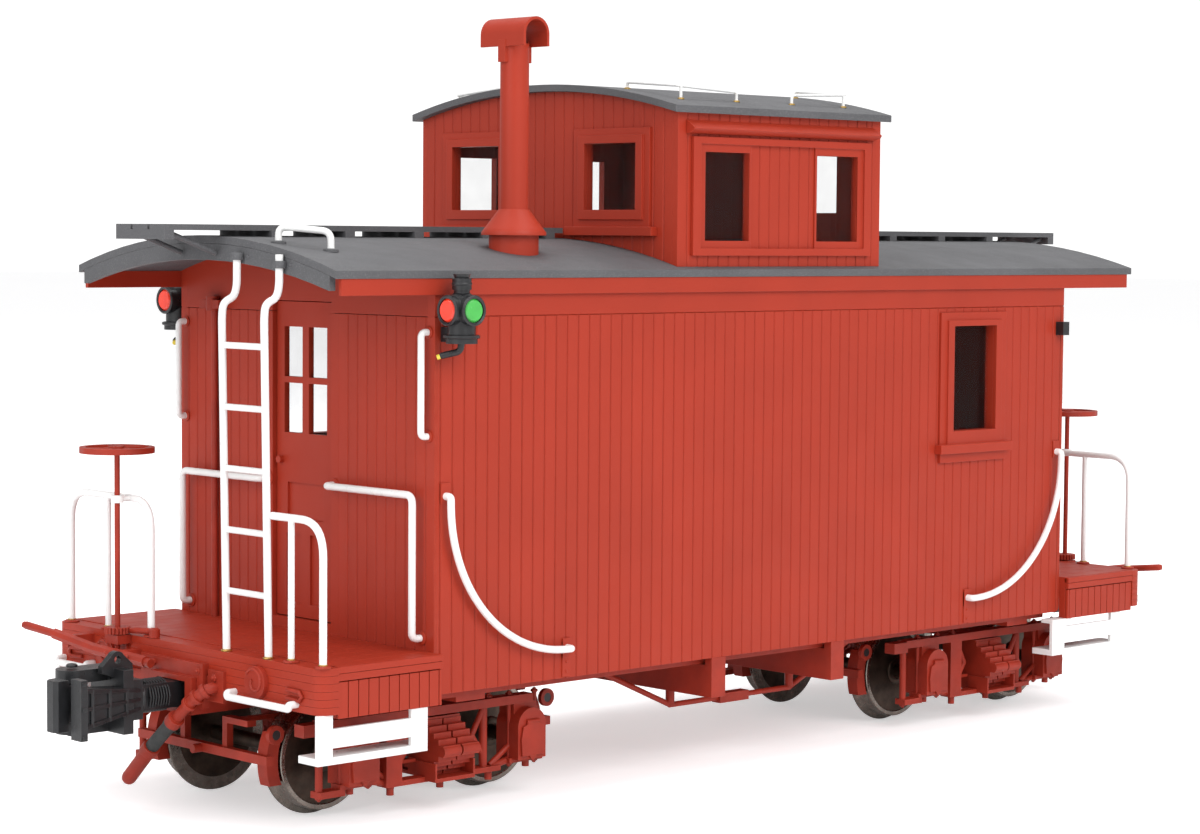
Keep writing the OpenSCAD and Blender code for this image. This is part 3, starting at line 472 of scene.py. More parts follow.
side = Shape(RED_BODY)
foot_cuts = [s * (HALF_L - CORNER * t) for s in (-1, 1) for t in (0.1, 0.3, 0.6, 1.0)]
boards(side, True, -HALF_L, HALF_L, steps(SIDE_GROOVE, BOARD, -HALF_L, HALF_L), -HALF_W, -HALF_W + WALL,
       rounded_foot, NAME_BOARD, [WINDOW] + [(c, c, 0, 0) for c in foot_cuts])
side.prism([(-HALF_W + WALL, NAME_BOARD), (-HALF_W + GROOVE, NAME_BOARD), (-HALF_W, NAME_BOARD + GROOVE),
            (-HALF_W, ROOF_UNDER(HALF_W)), (-HALF_W + WALL, ROOF_UNDER(HALF_W - WALL))],
           0, -HALF_L, HALF_L)
for turn, word in ((False, "left"), (True, "right")):
    side.make(f"{word}_side_boards", "carbody", "red_body", replaces=[f"{word}_side"], bevel=0.05,
              turn=turn, segments=1)

# Doorway, and how far its casing reaches from the middle
DOOR_HALF, DOOR_LOW, DOOR_TOP = 13.0, 48.0, 134.5
CASING = 16.2
end = Shape(RED_BODY)
inner_y = HALF_W - WALL
boards(end, False, -inner_y, -CASING, steps(-CASING, BOARD, -inner_y, 0),
       -HALF_L, -HALF_L + WALL, SIDE_LOW.z, NAME_BOARD)
boards(end, False, CASING, inner_y, steps(CASING, BOARD, 0, inner_y + BOARD),
       -HALF_L, -HALF_L + WALL, SIDE_LOW.z, NAME_BOARD)
for s in (-1, 1):
    end.box((-HALF_L, min(s * DOOR_HALF, s * CASING), SIDE_LOW.z),
            (-HALF_L + WALL, max(s * DOOR_HALF, s * CASING), NAME_BOARD))
end.box((-HALF_L, -DOOR_HALF, SIDE_LOW.z), (-HALF_L + WALL, DOOR_HALF, DOOR_LOW))
arc_points = [(y, ROOF_UNDER(y)) for y in [inner_y - i * inner_y / 12 for i in range(25)]]
board_z = NAME_BOARD + 0.15
end.prism([(-inner_y, board_z), (-DOOR_HALF, board_z), (-DOOR_HALF, DOOR_TOP), (DOOR_HALF, DOOR_TOP),
           (DOOR_HALF, board_z), (inner_y, board_z), *arc_points],
          0, -HALF_L, -HALF_L + WALL)
for turn, word in ((False, "front"), (True, "rear")):
    end.make(f"{word}_end_boards", "carbody", "red_body", replaces=[f"{word}_end_wall"], bevel=0.05,
             turn=turn, segments=1)

cup_y, cup_x, cup_t = -CUP_LOW.y, -CUP_LOW.x, CUP_HIGH.y - CUP_LOW.y
cup = Shape(RED_BODY)
cup_post = 3.8
cup_grooves = [-cup_x + cup_post, cup_x - cup_post]
cup_grooves += steps(11.2, CUP_BOARD, -cup_x + cup_post + 0.1, cup_x - cup_post - 0.1)
boards(cup, True, -cup_x, cup_x, cup_grooves, -cup_y, -cup_y + cup_t, lambda x, y: ROOF_TOP(y),
       lambda x, y: CUP_UNDER(y), CUP_SIDE_WINDOWS)
for turn, word in ((False, "left"), (True, "right")):
    cup.make(f"cupola_{word}_boards", "carbody", "red_body", replaces=[f"cupola_{word}_side"], bevel=0.05,
             turn=turn, segments=1)
cup = Shape(RED_BODY)
boards(cup, False, -cup_y + cup_t, cup_y - cup_t, steps(0, CUP_BOARD, -cup_y, cup_y),
       -cup_x, -cup_x + cup_t, lambda x, y: ROOF_TOP(y), lambda x, y: CUP_UNDER(y), CUP_END_WINDOWS)
for turn, word in ((False, "front"), (True, "rear")):
    cup.make(f"cupola_{word}_boards", "carbody", "red_body", replaces=[f"cupola_{word}"], bevel=0.05,
             turn=turn, segments=1)


# ---- white rails ----

RAIL_D, THIN_D = 2.0, 1.7
rail_x = SILL_X - 2
rail_top = 81.4
# Ladder: its stiles, its rungs, where it bends towards the roof, and the eyes that hold its top
LADDER_Y = (-36, -18)
EYE_Z = (143.8, 145.7)
RUNGS, RUNG_LOW, RUNG_STEP = 5, 60.8, 15.8
STILE_TOP = 147.3
foot_x, bend_x, bend_z = -rail_x - 0.4, -rail_x - 1.8, 132.4
top_x = ROOF_LOW.x - 1.3
ladder = Shape(WHITE, CHARCOAL, BRASS)
for y, eye_z in zip(LADDER_Y, EYE_Z):
    ladder.tube(bend([(foot_x, y, DECK - 0.5), (foot_x, y, DECK + 1), (bend_x, y, bend_z - 1),
                      (bend_x + 0.4, y, bend_z + 2.4), (top_x - 0.8, y, bend_z + 4), (top_x, y, bend_z + 7),
                      (top_x, y, STILE_TOP)], 2.2), RAIL_D)
    ladder.lathe((foot_x, y, DECK), UP, [(1.5, 0), (1.5, 0.35), (1.15, 0.5)], 16, 2)
    ladder.lathe((top_x, y, eye_z), UP, [(1.6, 0), (1.7, 0.3), (1.7, 1.6), (1.5, 1.9)], 16, 1)
    ladder.box((top_x, y - 1.1, eye_z + 0.2), (ROOF_LOW.x + 0.1, y + 1.1, eye_z + 1.7), 1)
    for s in (-1, 1):
        ladder.rivet((ROOF_LOW.x, y + s * 3, eye_z + 0.9), AHEAD, 1.0, 1)
for i in range(RUNGS):
    z = RUNG_LOW + RUNG_STEP * i
    x = foot_x + (bend_x - foot_x) * (z - DECK) / (bend_z - DECK)
    ladder.rod((x, LADDER_Y[0], z), (x, LADDER_Y[1], z), THIN_D)
for turn, word in ((False, "front"), (True, "rear")):
    ladder.make(f"{word}_ladder_rails", "carbody", "white_rail", replaces=[f"{word}_ladder"], bevel=0,
                turn=turn)

# Hoop at the ladder's corner and the wider one on the brake's side, each with a middle post
HOOP_Y, HOOP_POST_Y = 58, 45
WIDE_Y, WIDE_POST_Y, WIDE_END_Y = 55, 37, 16.6
STAFF_X, STAFF_Y = SILL_X + 2.4, 26
rails = Shape(WHITE, RED_FRAME, BRASS)
rails.tube(bend([(-rail_x, -37, rail_top), (-rail_x, -HOOP_Y, rail_top), (-rail_x, -HOOP_Y, DECK - 0.4)],
                9, 10), RAIL_D)
rails.rod((-rail_x, -HOOP_POST_Y, DECK - 0.4), (-rail_x, -HOOP_POST_Y, rail_top), THIN_D)
rails.tube(bend([(-rail_x, WIDE_Y, DECK - 0.4), (-rail_x, WIDE_Y, rail_top),
                 (-rail_x, WIDE_END_Y, rail_top), (-rail_x, WIDE_END_Y, DECK - 0.4)], 8, 10), RAIL_D)
rails.rod((-rail_x, WIDE_POST_Y, DECK - 0.4), (-rail_x, WIDE_POST_Y, rail_top), THIN_D)
for y in (-HOOP_Y, -HOOP_POST_Y, WIDE_END_Y, WIDE_POST_Y, WIDE_Y):
    rails.lathe((-rail_x, y, DECK), UP, [(2.1, 0), (2.1, 0.35), (1.7, 0.6)], 20, 1)
    rails.lathe((-rail_x, y, DECK), UP, [(1.2, 0.5), (1.2, 0.85), (0.9, 0.95)], 14, 2)
rails.rod((-rail_x, STAFF_Y, rail_top), (-STAFF_X + 1.3, STAFF_Y, rail_top), 1.5)
rails.lathe((-STAFF_X, STAFF_Y, rail_top - 1), UP,
            [(0.83, 0), (1.7, 0), (1.7, 2), (0.83, 2), (0.83, 0)], 20)
# Grabs under the end sill
grab_x, grab_in, grab_z = -SILL_X - 2.6, -SILL_X + 0.3, 35.2
for a, b in ((-24, -50), (41, 55.5)):
    rails.tube(bend([(grab_in, a, grab_z), (grab_x, a, grab_z), (grab_x, a, grab_z - 1),
                     (grab_x, b, grab_z - 1), (grab_x, b, grab_z), (grab_in, b, grab_z)], 1.2), 1.9,
               round_ends=True)
for turn, word in ((False, "front"), (True, "rear")):
    rails.make(f"{word}_rail_hoops", "carbody", "white_rail", replaces=[f"{word}_railings"], bevel=0,
               turn=turn)

# Curved rail of each side: the middle and radius of its arc, and its flattened ends
ARC_X, ARC_Z, ARC_R = -HALF_L + 44.6, 83.4, 41.2
arc_top_x, arc_top_z = -HALF_L + 3.4, ARC_Z + 2
arc_end_x, arc_end_z = ARC_X + 1.6, ARC_Z - ARC_R
grab_y = HALF_W + 2.6
# Upright grab beside each corner of the end wall, and the bent rail from the door to the deck
WALL_GRAB_Y, WALL_GRAB_Z = 53.6, (127.6, 100.8)
DOOR_RAIL_Y, DOOR_RAIL_Z = (14.5, 51, 51.2), (85.6, 48.4)
wall_in, grab_out, rail_out = -HALF_L + 0.3, -HALF_L - 2.6, -HALF_L - 3.2
grabs = Shape(WHITE, RED_BODY)
arc = [(ARC_X + ARC_R * math.cos(math.radians(a)), grab_y, ARC_Z + ARC_R * math.sin(math.radians(a)))
       for a in range(180, 271, 5)]
for s in (-1, 1):
    path = [(arc_top_x, HALF_W - 0.3, arc_top_z), (arc_top_x, grab_y, arc_top_z), *arc,
            (arc_end_x, grab_y, arc_end_z), (arc_end_x, HALF_W - 0.3, arc_end_z)]
    grabs.tube([(p[0], s * p[1], p[2]) for p in bend(path, 1.6, 4)], RAIL_D)
    for x, z in ((arc_top_x, arc_top_z + 0.8), (arc_end_x, arc_end_z)):
        grabs.box((x - 1.5, min(s * HALF_W, s * (HALF_W + 0.5)), z - 2.6),
                  (x + 1.5, max(s * HALF_W, s * (HALF_W + 0.5)), z + 2.6), 1)
    for z in (36, 38.7, 41.4):
        grabs.rivet((arc_end_x, s * (HALF_W + 0.3), z - 0.2), (0, s, 0), 1.0, 1)
    grabs.box((arc_end_x - 1.5, min(s * HALF_W, s * (HALF_W + 0.35)), SIDE_LOW.z + 0.4),
              (arc_end_x + 1.5, max(s * HALF_W, s * (HALF_W + 0.35)), 44), 1)
    y, (high, low) = s * WALL_GRAB_Y, WALL_GRAB_Z
    grabs.tube(bend([(wall_in, y, high), (grab_out, y, high), (grab_out, y, low), (wall_in, y, low)], 2.2),
               1.8)
    for z in WALL_GRAB_Z:
        grabs.lathe((-HALF_L, y, z), AHEAD, [(1.6, 0), (1.6, 0.3), (1.2, 0.45)], 16, 1)
    door_y, out_y, foot_y = (s * y for y in DOOR_RAIL_Y)
    high, low = DOOR_RAIL_Z
    grabs.tube(bend([(wall_in, door_y, high), (rail_out, door_y, high), (rail_out, out_y, high),
                     (rail_out, out_y, low), (wall_in, foot_y, low)], 2.4), RAIL_D)
    for y, z in ((door_y, high), (foot_y, low)):
        grabs.lathe((-HALF_L, y, z), AHEAD, [(1.9, 0), (1.9, 0.3), (1.4, 0.5)], 16, 1)
grabs.turned().make("wall_rails", "carbody", "white_rail", replaces=["wall_grab_rails"], bevel=0)

top_rails = Shape(WHITE, BRASS, CHARCOAL)
roof_feet = ((-158, -27), (-150, -38.5))
(xa, ya), (xb, yb) = roof_feet
top_rails.tube(bend([(xa, ya, 148.5), (xa, ya, 154.4), (xb, yb, 153.2), (xb, yb, 146)], 2.4), 1.8)
for x, y in roof_feet:
    top_rails.lathe((x, y, ROOF_TOP(y) - 0.3), UP, [(2, 0), (2, 0.7), (1.5, 0.95)], 18, 2)
# L-shaped grab rails of the cupola roof, on three thin posts
CUP_GRAB_X, CUP_GRAB_Y, CUP_GRAB_D = (-11.5, -33.8, -35), (47.5, 27), 0.9
near_x, post_x, far_x = CUP_GRAB_X
for s in (-1, 1):
    out_y, in_y = (s * y for y in CUP_GRAB_Y)
    top_rails.tube(bend([(near_x, out_y, 189), (near_x, out_y, 193.7), (far_x, out_y, 194.7),
                         (far_x, in_y, 196.3), (far_x, in_y, 190)], 1.2), CUP_GRAB_D, 12)
    for x, y in ((near_x, out_y), (far_x, in_y), (post_x, out_y)):
        top_rails.lathe((x, y, CUP_TOP(y) - 0.1), UP, [(1.0, 0), (1.0, 0.35), (0.6, 0.5)], 14, 1)
    top_rails.rod((post_x, out_y, CUP_TOP(out_y) - 0.2), (post_x, out_y, 194.5), CUP_GRAB_D, 12)
top_rails.turned().make("roof_rails", "carbody", "white_rail", replaces=["roof_grab_rails"], bevel=0)


# ---- platforms and end sills ----

APRON_LOW, APRON_TOP, APRON_BOARD = 32.0, 41.2, 3.28
PLANK = 5.6
SEAM = 0.06
apron_y = -SILL_LOW.y - 0.6
sill_in = -SILL_X + 5.6
apron = Shape(RED_BODY)
x = sill_in
while x < -HALF_L - 0.5:
    after = min(x + APRON_BOARD, -HALF_L)
    apron.box((x + 2 * SEAM, apron_y - 0.6, APRON_LOW), (after - 2 * SEAM, apron_y + 0.25, APRON_TOP))
    x = after
apron.box((sill_in, apron_y - 0.6, 41.5), (-HALF_L, apron_y + 0.55, 43.3))
apron.box((sill_in, apron_y - 1, 43.4), (-HALF_L, apron_y + 0.6, DECK + 0.02))
apron.mirror_y().turned().make("side_aprons", "carbody", "red_body", bevel=0.1)

# the deck's planks, the boards under them, the two middle beams and the side beams
planks = Shape(RED_BODY)
deck_y = -SILL_LOW.y - 0.8
y = -deck_y
while y < -SILL_LOW.y - 1:
    planks.box((sill_in + 0.1, y + SEAM, DECK - 0.2),
               (-HALF_L - 0.02, min(y + PLANK, deck_y) - SEAM, DECK + 0.12))
    y += PLANK
planks.box((sill_in, -deck_y + 0.1, DECK - 3), (-HALF_L, deck_y - 0.1, DECK - 0.15))
for s in (-1, 1):
    for beam_in, beam_out, beam_low in ((9.5, 13, 31), (HALF_W, apron_y - 0.7, APRON_LOW)):
        planks.box((sill_in, min(s * beam_in, s * beam_out), beam_low),
                   (-HALF_L, max(s * beam_in, s * beam_out), DECK - 2.9))
planks.turned().make("deck_planks", "carbody", "red_body", bevel=0.08,
                     replaces=["front_platform", "rear_platform"])

# nuts and a rib of the draft casting, and the plate and nut beside it
gear = Shape(RED_FRAME)
casting_x = -SILL_X - 1.6
for y, z in ((-10.4, 31.6), (-10.4, 39.2), (14, 39), (14, 31.6), (10, 39.2)):
    gear.nut((casting_x, y, z), AHEAD, 1.7, 0.7)
gear.box((casting_x - 0.5, -12.6, 29.4), (casting_x + 0.2, -11.2, 41.3))
gear.nut((-SILL_X - 1, -16.6, 38.1), AHEAD, 1.8, 0.7)
gear.nut((-SILL_X - 0.2, 36, 36.4), AHEAD, 1.4, 0.5)
# spiral on each round boss, and a bent staple beside it
SPIRAL_STEPS, SPIRAL_TURN, SPIRAL_IN = 26, 14, 0.105
spiral_x, boss_y, boss_z = -SILL_X - 1.5, 34, 38.9
staple_x = -SILL_X - 0.5
STAPLE = ((46.6, 38.6), (51.6, 38.4), (52.6, 37.3), (51.6, 36.2), (46.6, 36.4))


def spiral(k, y):
    """Point k of the spiral of the boss at y."""
    angle, r = math.radians(30 + SPIRAL_TURN * k), 3.8 - SPIRAL_IN * k
    return spiral_x, y + r * math.cos(angle), boss_z + r * math.sin(angle)


for s in (-1, 1):
    for k in range(SPIRAL_STEPS):
        gear.rod(spiral(k, s * boss_y), spiral(k + 1, s * boss_y), 0.7, 8)
    gear.tube([(staple_x, s * y, z) for y, z in STAPLE], 1.1, 10, round_ends=True)
# ratchet teeth round the brake staff, and the pawl with its pin
TEETH, TEETH_R = 20, 3.1
for k in range(TEETH):
    a = 2 * math.pi * k / TEETH
    gear.lathe((-STAFF_X + TEETH_R * math.cos(a), STAFF_Y + TEETH_R * math.sin(a), DECK + 0.25), UP,
               [(0.42, 0), (0.42, 1.6), (0.2, 1.75)], 6)
pawl_x, pawl_y = -SILL_X + 1.2, 14
gear.tube([(pawl_x, pawl_y, DECK + 1.6), (-SILL_X - 0.2, 19, DECK + 1.5),
           (-STAFF_X + 2.2, 22.4, DECK + 1.2)], 1.7, 10, round_ends=True)
gear.lathe((pawl_x, pawl_y, DECK), UP, [(1.5, 0), (1.5, 2.2), (0.9, 2.6), (0, 2.7)], 14)
# uncoupling lever with its handle and rivets
lever = [(-SILL_X - 5.6, 8, 39.8), (-SILL_X - 6.4, 31, 40.8), (-SILL_X - 8.6, 47, 43.4)]
gear.tube(lever, 3.1, 8)
gear.tube([lever[2], (-SILL_X - 10.4, 58.6, 44.7)], 2.2, 10, round_ends=True)
for y in (14, 24, 34, 42):
    gear.rivet((-SILL_X - 7.6, y, 40.6), AHEAD, 1.1)
gear.turned().make("end_gear_details", "carbody", "red_frame", bevel=0)

# ---- hoses ----

hose = Shape(RED_FRAME, RUBBER)
path = bend([(-SILL_X - 0.9, -16.6, 35.4), (-SILL_X - 3.2, -16.6, 35.4), (-SILL_X - 5.4, -13, 32.4),
             (-SILL_X - 6, -7.4, 27.6), (-SILL_X - 6.2, 3, 19.2), (-SILL_X - 6.6, 14.4, 8.4)], 4, 6)
whole = sum((b - a).length for a, b in zip(path, path[1:]))
done, marks = 0.0, []
for a, b in zip(path, path[1:]):
    marks.append((done / whole, a))
    done += (b - a).length
marks.append((1.0, path[-1]))


def along(t):
    """The point at the share t of the hose's length."""
    for (t0, a), (t1, b) in zip(marks, marks[1:]):
        if t <= t1:
            return a.lerp(b, (t - t0) / (t1 - t0))
    return marks[-1][1]


def stretch(t0, t1, n=14):
    """Points along the hose between two shares of its length."""
    return [along(t0 + (t1 - t0) * i / n) for i in range(n + 1)]


# cast pipe with three rings, its collar, the rubber hose with its clamp, the lower collar and the end
hose.tube(stretch(0, 0.40), 3.0)
for t in (0.06, 0.13, 0.20):
    hose.tube(stretch(t, t + 0.022, 2), 4.2)
hose.tube(stretch(0.36, 0.42, 3), 4.7)
hose.tube(stretch(0.40, 0.70), 3.7, 18, 1)
hose.tube(stretch(0.42, 0.45, 2), 4.2, 18, 1)
hose.tube(stretch(0.68, 0.74, 3), 4.9)
hose.tube(stretch(0.73, 1.0, 6), 4.0, 16, round_ends=True)
hose.turned().make("air_hose_castings", "carbody", "hose_rubber", replaces=["air_hoses"], bevel=0.08)

# ---- lamps ----

# rims of the two lenses, foot and chimney rings, and the arm with its yellow tip
LAMP_X, LAMP_Y, LAMP_Z = HALF_L - 3.5, HALF_W + 6.4, 133.4
lamp = Shape(BLACK, YELLOW)
for way in (AHEAD, (0, 1, 0)):
    at = Vector((-LAMP_X, LAMP_Y, LAMP_Z)) + Vector(way) * 4.2
    lamp.lathe(at, way, [(3.05, 0), (3.95, 0), (3.95, 0.7), (3.6, 1.0), (3.1, 0.8), (3.05, 0)], 32)
lamp.lathe((-LAMP_X, LAMP_Y, LAMP_Z - 7.2), UP, [(4.5, 0), (4.75, 0.2), (4.75, 0.8), (4.2, 1.0)], 28)
lamp.lathe((-LAMP_X, LAMP_Y, LAMP_Z + 6.3), UP, [(2.5, 0), (2.65, 0.2), (2.65, 0.6), (2.5, 0.8)], 24)
lamp.tube(bend([(-LAMP_X, LAMP_Y, LAMP_Z - 8), (-LAMP_X, LAMP_Y - 0.5, LAMP_Z - 10.5),
                (-LAMP_X - 3.5, LAMP_Y - 3.5, LAMP_Z - 11.6)], 2.2), 1.8, 12, round_ends=True)
lamp.rod((-LAMP_X - 3.4, LAMP_Y - 3.4, LAMP_Z - 11.55), (-LAMP_X - 4.5, LAMP_Y - 4.4, LAMP_Z - 12.1),
         1.3, 12, 1)
lamp.mirror_y().make("lamp_rims", "carbody", "black_metal", bevel=0)

# ---- wheels ----

# back face, then flange and tread in bright steel, then the dished front with its hub
GAUGE, HALF_BASE = 45, 29
back = GAUGE / 2 - 1.5
tread_r = 14.4
AXLE_Z = span("front_outer_wheelset")[1].z / 2
wheel = Shape(STEEL, BRIGHT)
for s in (-1, 1):
    at, way = (0, s * back, AXLE_Z), (0, s, 0)
    wheel.lathe(at, way, [(2, 0), (12.2, 0), (12.8, 0.3), (tread_r + 0.9, 0.3)], 72)
    wheel.lathe(at, way, [(tread_r + 0.9, 0.05), (tread_r + 1.4, 0.25), (tread_r + 1.5, 0.65),
                          (tread_r + 1.3, 1.1), (tread_r + 0.35, 1.75), (tread_r, 2.4),
                          (tread_r - 0.2, 5.8), (tread_r - 0.45, 6.0), (12.9, 6.0), (12.6, 5.7)], 72, 1)
    wheel.lathe(at, way, [(12.7, 5.8), (12.2, 5.2), (11.4, 4.5), (9, 4.0), (6, 3.9), (4.9, 4.2), (4.3, 5.0),
                          (4.1, 6.2), (3.7, 6.5), (2.4, 6.5), (2.2, 6.3), (0, 6.3)], 72)
wheel.rod((0, -33, AXLE_Z), (0, 33, AXLE_Z), 4, 28)
wheel.rod((0, -38, AXLE_Z), (0, 38, AXLE_Z), 3, 24)
for end_word, sx in (("front", -1), ("rear", 1)):
    for which, off in (("outer", sx), ("inner", -sx)):
        body = f"{end_word}_{which}_wheelset"
        wheel.make(f"{body}_turned", body, "wheel_steel", replaces=[body], bevel=0,
                   shift=sx * TRUCK_X + off * HALF_BASE)

# ---- trucks ----

# inner and outer faces of the side frame's bars, and the middle of its bolts
BAR_Y, OUT_Y = 37.6, 41.6
BOLT_Y, BOLT_TOP, BOLT_LOW = OUT_Y - 2, 28, 9.6
DOWN, OUT = (0, 0, -1), (0, 1, 0)
truck = Shape(RED_FRAME, BLACK)
for sx in (-1, 1):
    x = sx * HALF_BASE
    # journal box lid with its hinge and pointed lip, and the bolts at its two sides
    truck.prism([(x - 3.9, 11.6), (x + 3.9, 11.6), (x + 4.3, 16), (x + 3.6, 19.6), (x, 21.2),
                 (x - 3.6, 19.6), (x - 4.3, 16)], 1, OUT_Y + 2.4, OUT_Y + 3.1)
    truck.prism([(x - 1.5, 11.9), (x + 1.5, 11.9), (x, 9.9)], 1, OUT_Y + 2.3, OUT_Y + 3.0)
    truck.rod((x - 2.2, OUT_Y + 2.6, 20.9), (x + 2.2, OUT_Y + 2.6, 20.9), 1.3, 12)
    for dx in (-4.6, 4.6):
        truck.nut((x + dx, BOLT_Y, BOLT_TOP), UP, 1.8, 0.7)
        truck.nut((x + dx, BOLT_Y, BOLT_LOW), DOWN, 1.8, 0.7)
        truck.rod((x + dx, BOLT_Y, BOLT_LOW), (x + dx, BOLT_Y, BOLT_TOP), 1.3, 12)
    # ring at the end of the top bar, with its black middle
    truck.lathe((sx * 47, BAR_Y - 8.6, 23.8), OUT, [(1.3, 0), (2.5, 0), (2.5, 1.4), (1.3, 1.4), (1.3, 0)],
                20)
    truck.lathe((sx * 47, BAR_Y - 8.4, 23.8), OUT, [(1.35, 0), (1.35, 1.1), (0, 1.1)], 16, 1)
for x in (-17, 17):
    truck.nut((x, BOLT_Y, BOLT_TOP), UP, 2.0, 0.8)
    truck.nut((x, BOLT_Y, 8.2), DOWN, 2.0, 0.8)
for x in (-40.5, 0):
    truck.nut((x, BOLT_Y, 8.2), DOWN, 1.8, 0.7)


def coil(shape, start, axis, r, pitch, turns, per_turn, d, mat):
    """A coil spring of wire d wound round the axis, which is 0 for X and 2 for Z, from the start."""
    def at(i):
        a = 2 * math.pi * i / per_turn
        c, w, along = r * math.cos(a), r * math.sin(a), pitch * i / per_turn
        return Vector(start) + Vector((along, c, w) if axis == 0 else (c, w, along))
    for i in range(turns * per_turn):
        shape.rod(at(i), at(i + 1), d, 6, mat)


# two black coil springs on a seat behind the frame's column
SPRING_Y = 35.6
truck.box((-17.6, 33.4, 13.2), (-7, BAR_Y + 0.4, 14.1))
for x in (-14.7, -10):
    truck.rod((x, SPRING_Y, 14), (x, SPRING_Y, 21), 1.6, 12)
    truck.lathe((x, SPRING_Y, 20.3), UP, [(0, 0), (2.1, 0), (2.1, 0.7), (0, 0.7)], 18, 1)
    coil(truck, (x, SPRING_Y, 14.3), 2, 1.7, 0.165 * 9, 4, 9, 0.75, 1)
truck.mirror_y()
for word, sx in (("front", -1), ("rear", 1)):
    truck.make(f"{word}_truck_fittings", f"{word}_truck", "red_frame", bevel=0.08, shift=sx * TRUCK_X)

# ---- couplers ----

COUPLER_Z = 32.5
PIN_X, PIN_Y = -199, 6.2
coupler = Shape(BLACK)
coil(coupler, (-182.2, 0, COUPLER_Z), 0, 4.3, 0.07 * 12, 8, 12, 0.6, 0)
# ribs of the tapering guard arm, from its front flange back to the collar
GUARD = [(-204.8, -9.3, 5.0), (-184.1, -4.0, 2.6)]
RIB_OUT = 0.5


def guard(t, out=0.0):
    """A place along the guard's side: x, y and half its height there."""
    (xa, ya, ha), (xb, yb, hb) = GUARD
    return xa + (xb - xa) * t, ya + (yb - ya) * t - out, ha + (hb - ha) * t


for level in (-1, 0, 1):
    ends = []
    for x, y, half in (guard(0, RIB_OUT), guard(1, RIB_OUT)):
        z = COUPLER_Z + level * (half - 0.4)
        ends += [(x, y, z - 0.5), (x, y + 2, z - 0.5), (x, y + 2, z + 0.5), (x, y, z + 0.5)]
    coupler.add(ends, [(0, 1, 2, 3), (7, 6, 5, 4), (0, 4, 5, 1), (1, 5, 6, 2), (2, 6, 7, 3), (3, 7, 4, 0)])
for t in (0.1, 0.4, 0.7, 0.96):
    x, y, half = guard(t, RIB_OUT)
    coupler.box((x - 0.45, y, COUPLER_Z - half), (x + 0.45, y + 2, COUPLER_Z + half))
# collar behind the head, ribs of the front flange, and the head and foot of the knuckle's pin
coupler.lathe((-184.6, 0, COUPLER_Z), (1, 0, 0),
              [(4.7, 0), (4.9, 0.3), (4.9, 0.9), (3.6, 1.4), (3.4, 2.2)], 24)
for z in (25.4, COUPLER_Z, 39.0):
    coupler.box((-206.3, -10.05, z - 0.5), (-204.9, -9.6, z + 0.5))
coupler.lathe((PIN_X, PIN_Y, 41.0), UP, [(1.5, 0), (1.5, 0.6), (1.0, 0.9), (0, 1.0)], 20)
coupler.lathe((PIN_X, PIN_Y, 23.2), UP, [(1.2, 0), (1.2, 1.0)], 16)
for turn, word in ((False, "front"), (True, "rear")):
    coupler.make(f"{word}_coupler_fittings", f"{word}_coupler", "black_metal", bevel=0.08, turn=turn)

# ---- floor, lights and camera ----

reach = 9.0
floor_mesh = bpy.data.meshes.new("studio_floor")
floor_mesh.from_pydata([(-reach, -reach, 0), (reach, -reach, 0), (reach, reach, 0), (-reach, reach, 0)],
                       [], [(0, 1, 2, 3)])
floor = bpy.data.objects.new("studio_floor", floor_mesh)
bpy.context.scene.collection.objects.link(floor)
floor.data.materials.append(coating("pale_floor", (0.86, 0.86, 0.87), 0.6, mottle=0.01, patch=300, grain=3,
                                    specular=0.2))
tree = floor.data.materials[0].node_tree
shader = tree.nodes["Principled BSDF"]
shader.inputs["Emission Color"].default_value = (1, 1, 1, 1)
# the floor and the world look brighter to the camera than the light that they give
FLOOR_GLOW, FLOOR_SEEN = 0.05, 0.5
AMBIENT, BACKDROP = 0.55, 1.15
seen = tree.nodes.new("ShaderNodeLightPath").outputs["Is Camera Ray"]
tree.links.new(remap(tree, seen, 0, 1, FLOOR_GLOW, FLOOR_SEEN), shader.inputs["Emission Strength"])

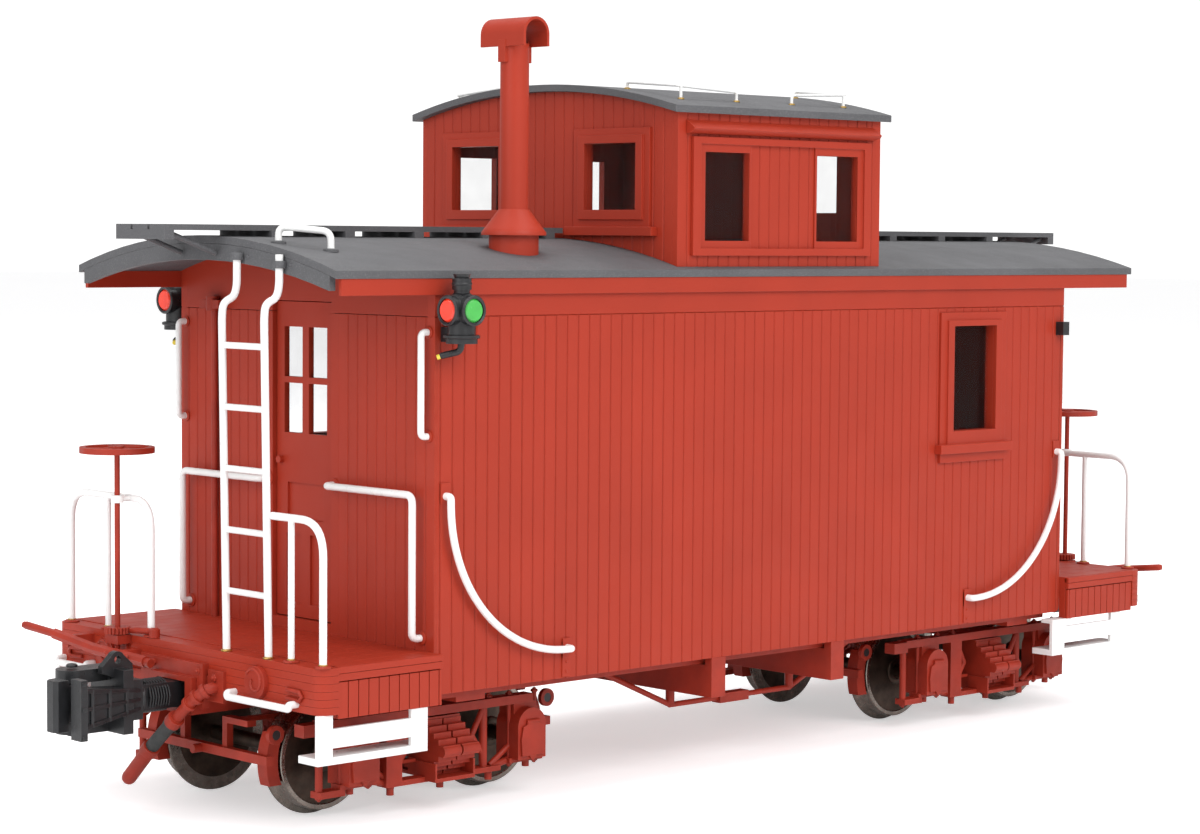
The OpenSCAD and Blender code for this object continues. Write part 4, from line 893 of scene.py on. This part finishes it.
world = bpy.context.scene.world or bpy.data.worlds.new("studio")
bpy.context.scene.world = world
world.use_nodes = True
tree = world.node_tree
sky = tree.nodes["Background"]
seen = tree.nodes.new("ShaderNodeLightPath").outputs["Is Camera Ray"]
tree.links.new(remap(tree, seen, 0, 1, AMBIENT, BACKDROP), sky.inputs["Strength"])
sky.inputs["Color"].default_value = (1.0, 1.0, 1.0, 1)


def softbox(name, at, size, power, aim=(0, 0, 0.1)):
    """Rectangular light of a size in metres and a power in watts, turned towards the model."""
    data = bpy.data.lights.new(name, "AREA")
    data.shape, data.size, data.size_y, data.energy = "RECTANGLE", size[0], size[1], power
    lamp_object = bpy.data.objects.new(name, data)
    bpy.context.scene.collection.objects.link(lamp_object)
    lamp_object.location = at
    lamp_object.rotation_mode = "QUATERNION"
    lamp_object.rotation_quaternion = (Vector(aim) - Vector(at)).to_track_quat("-Z", "Y")


softbox("key", (-0.2, -1.7, 1.3), (1.6, 1.2), 27)
softbox("overhead", (0.2, 0.2, 1.7), (1.8, 1.4), 21)
softbox("side", (-1.7, -0.2, 0.9), (1.2, 1.2), 13.5)

# the camera stands in metres where the photograph was taken from, and its angles are in degrees
CAMERA_AT = (-0.60297, -0.62077, 0.15252)
CAMERA_YAW, CAMERA_PITCH, CAMERA_ROLL = -43.2415, 3.5968, 0.4415
yaw, pitch, roll = (math.radians(a) for a in (CAMERA_YAW, CAMERA_PITCH, CAMERA_ROLL))
back = Vector((math.sin(yaw) * math.cos(pitch), -math.cos(yaw) * math.cos(pitch), math.sin(pitch)))
flat_right = (-back).cross((0, 0, 1)).normalized()
flat_up = flat_right.cross(-back)
right = flat_right * math.cos(roll) + flat_up * math.sin(roll)
up = flat_up * math.cos(roll) - flat_right * math.sin(roll)
camera_data = bpy.data.cameras.new("photo_view")
camera_data.sensor_width = 36
camera_data.lens = 86.287
camera = bpy.data.objects.new("photo_view", camera_data)
bpy.context.scene.collection.objects.link(camera)
turn = Matrix((right, up, back)).transposed().to_4x4()
camera.matrix_world = Matrix.Translation(CAMERA_AT) @ turn
bpy.context.scene.camera = camera
bpy.context.scene.view_settings.view_transform = "Standard"
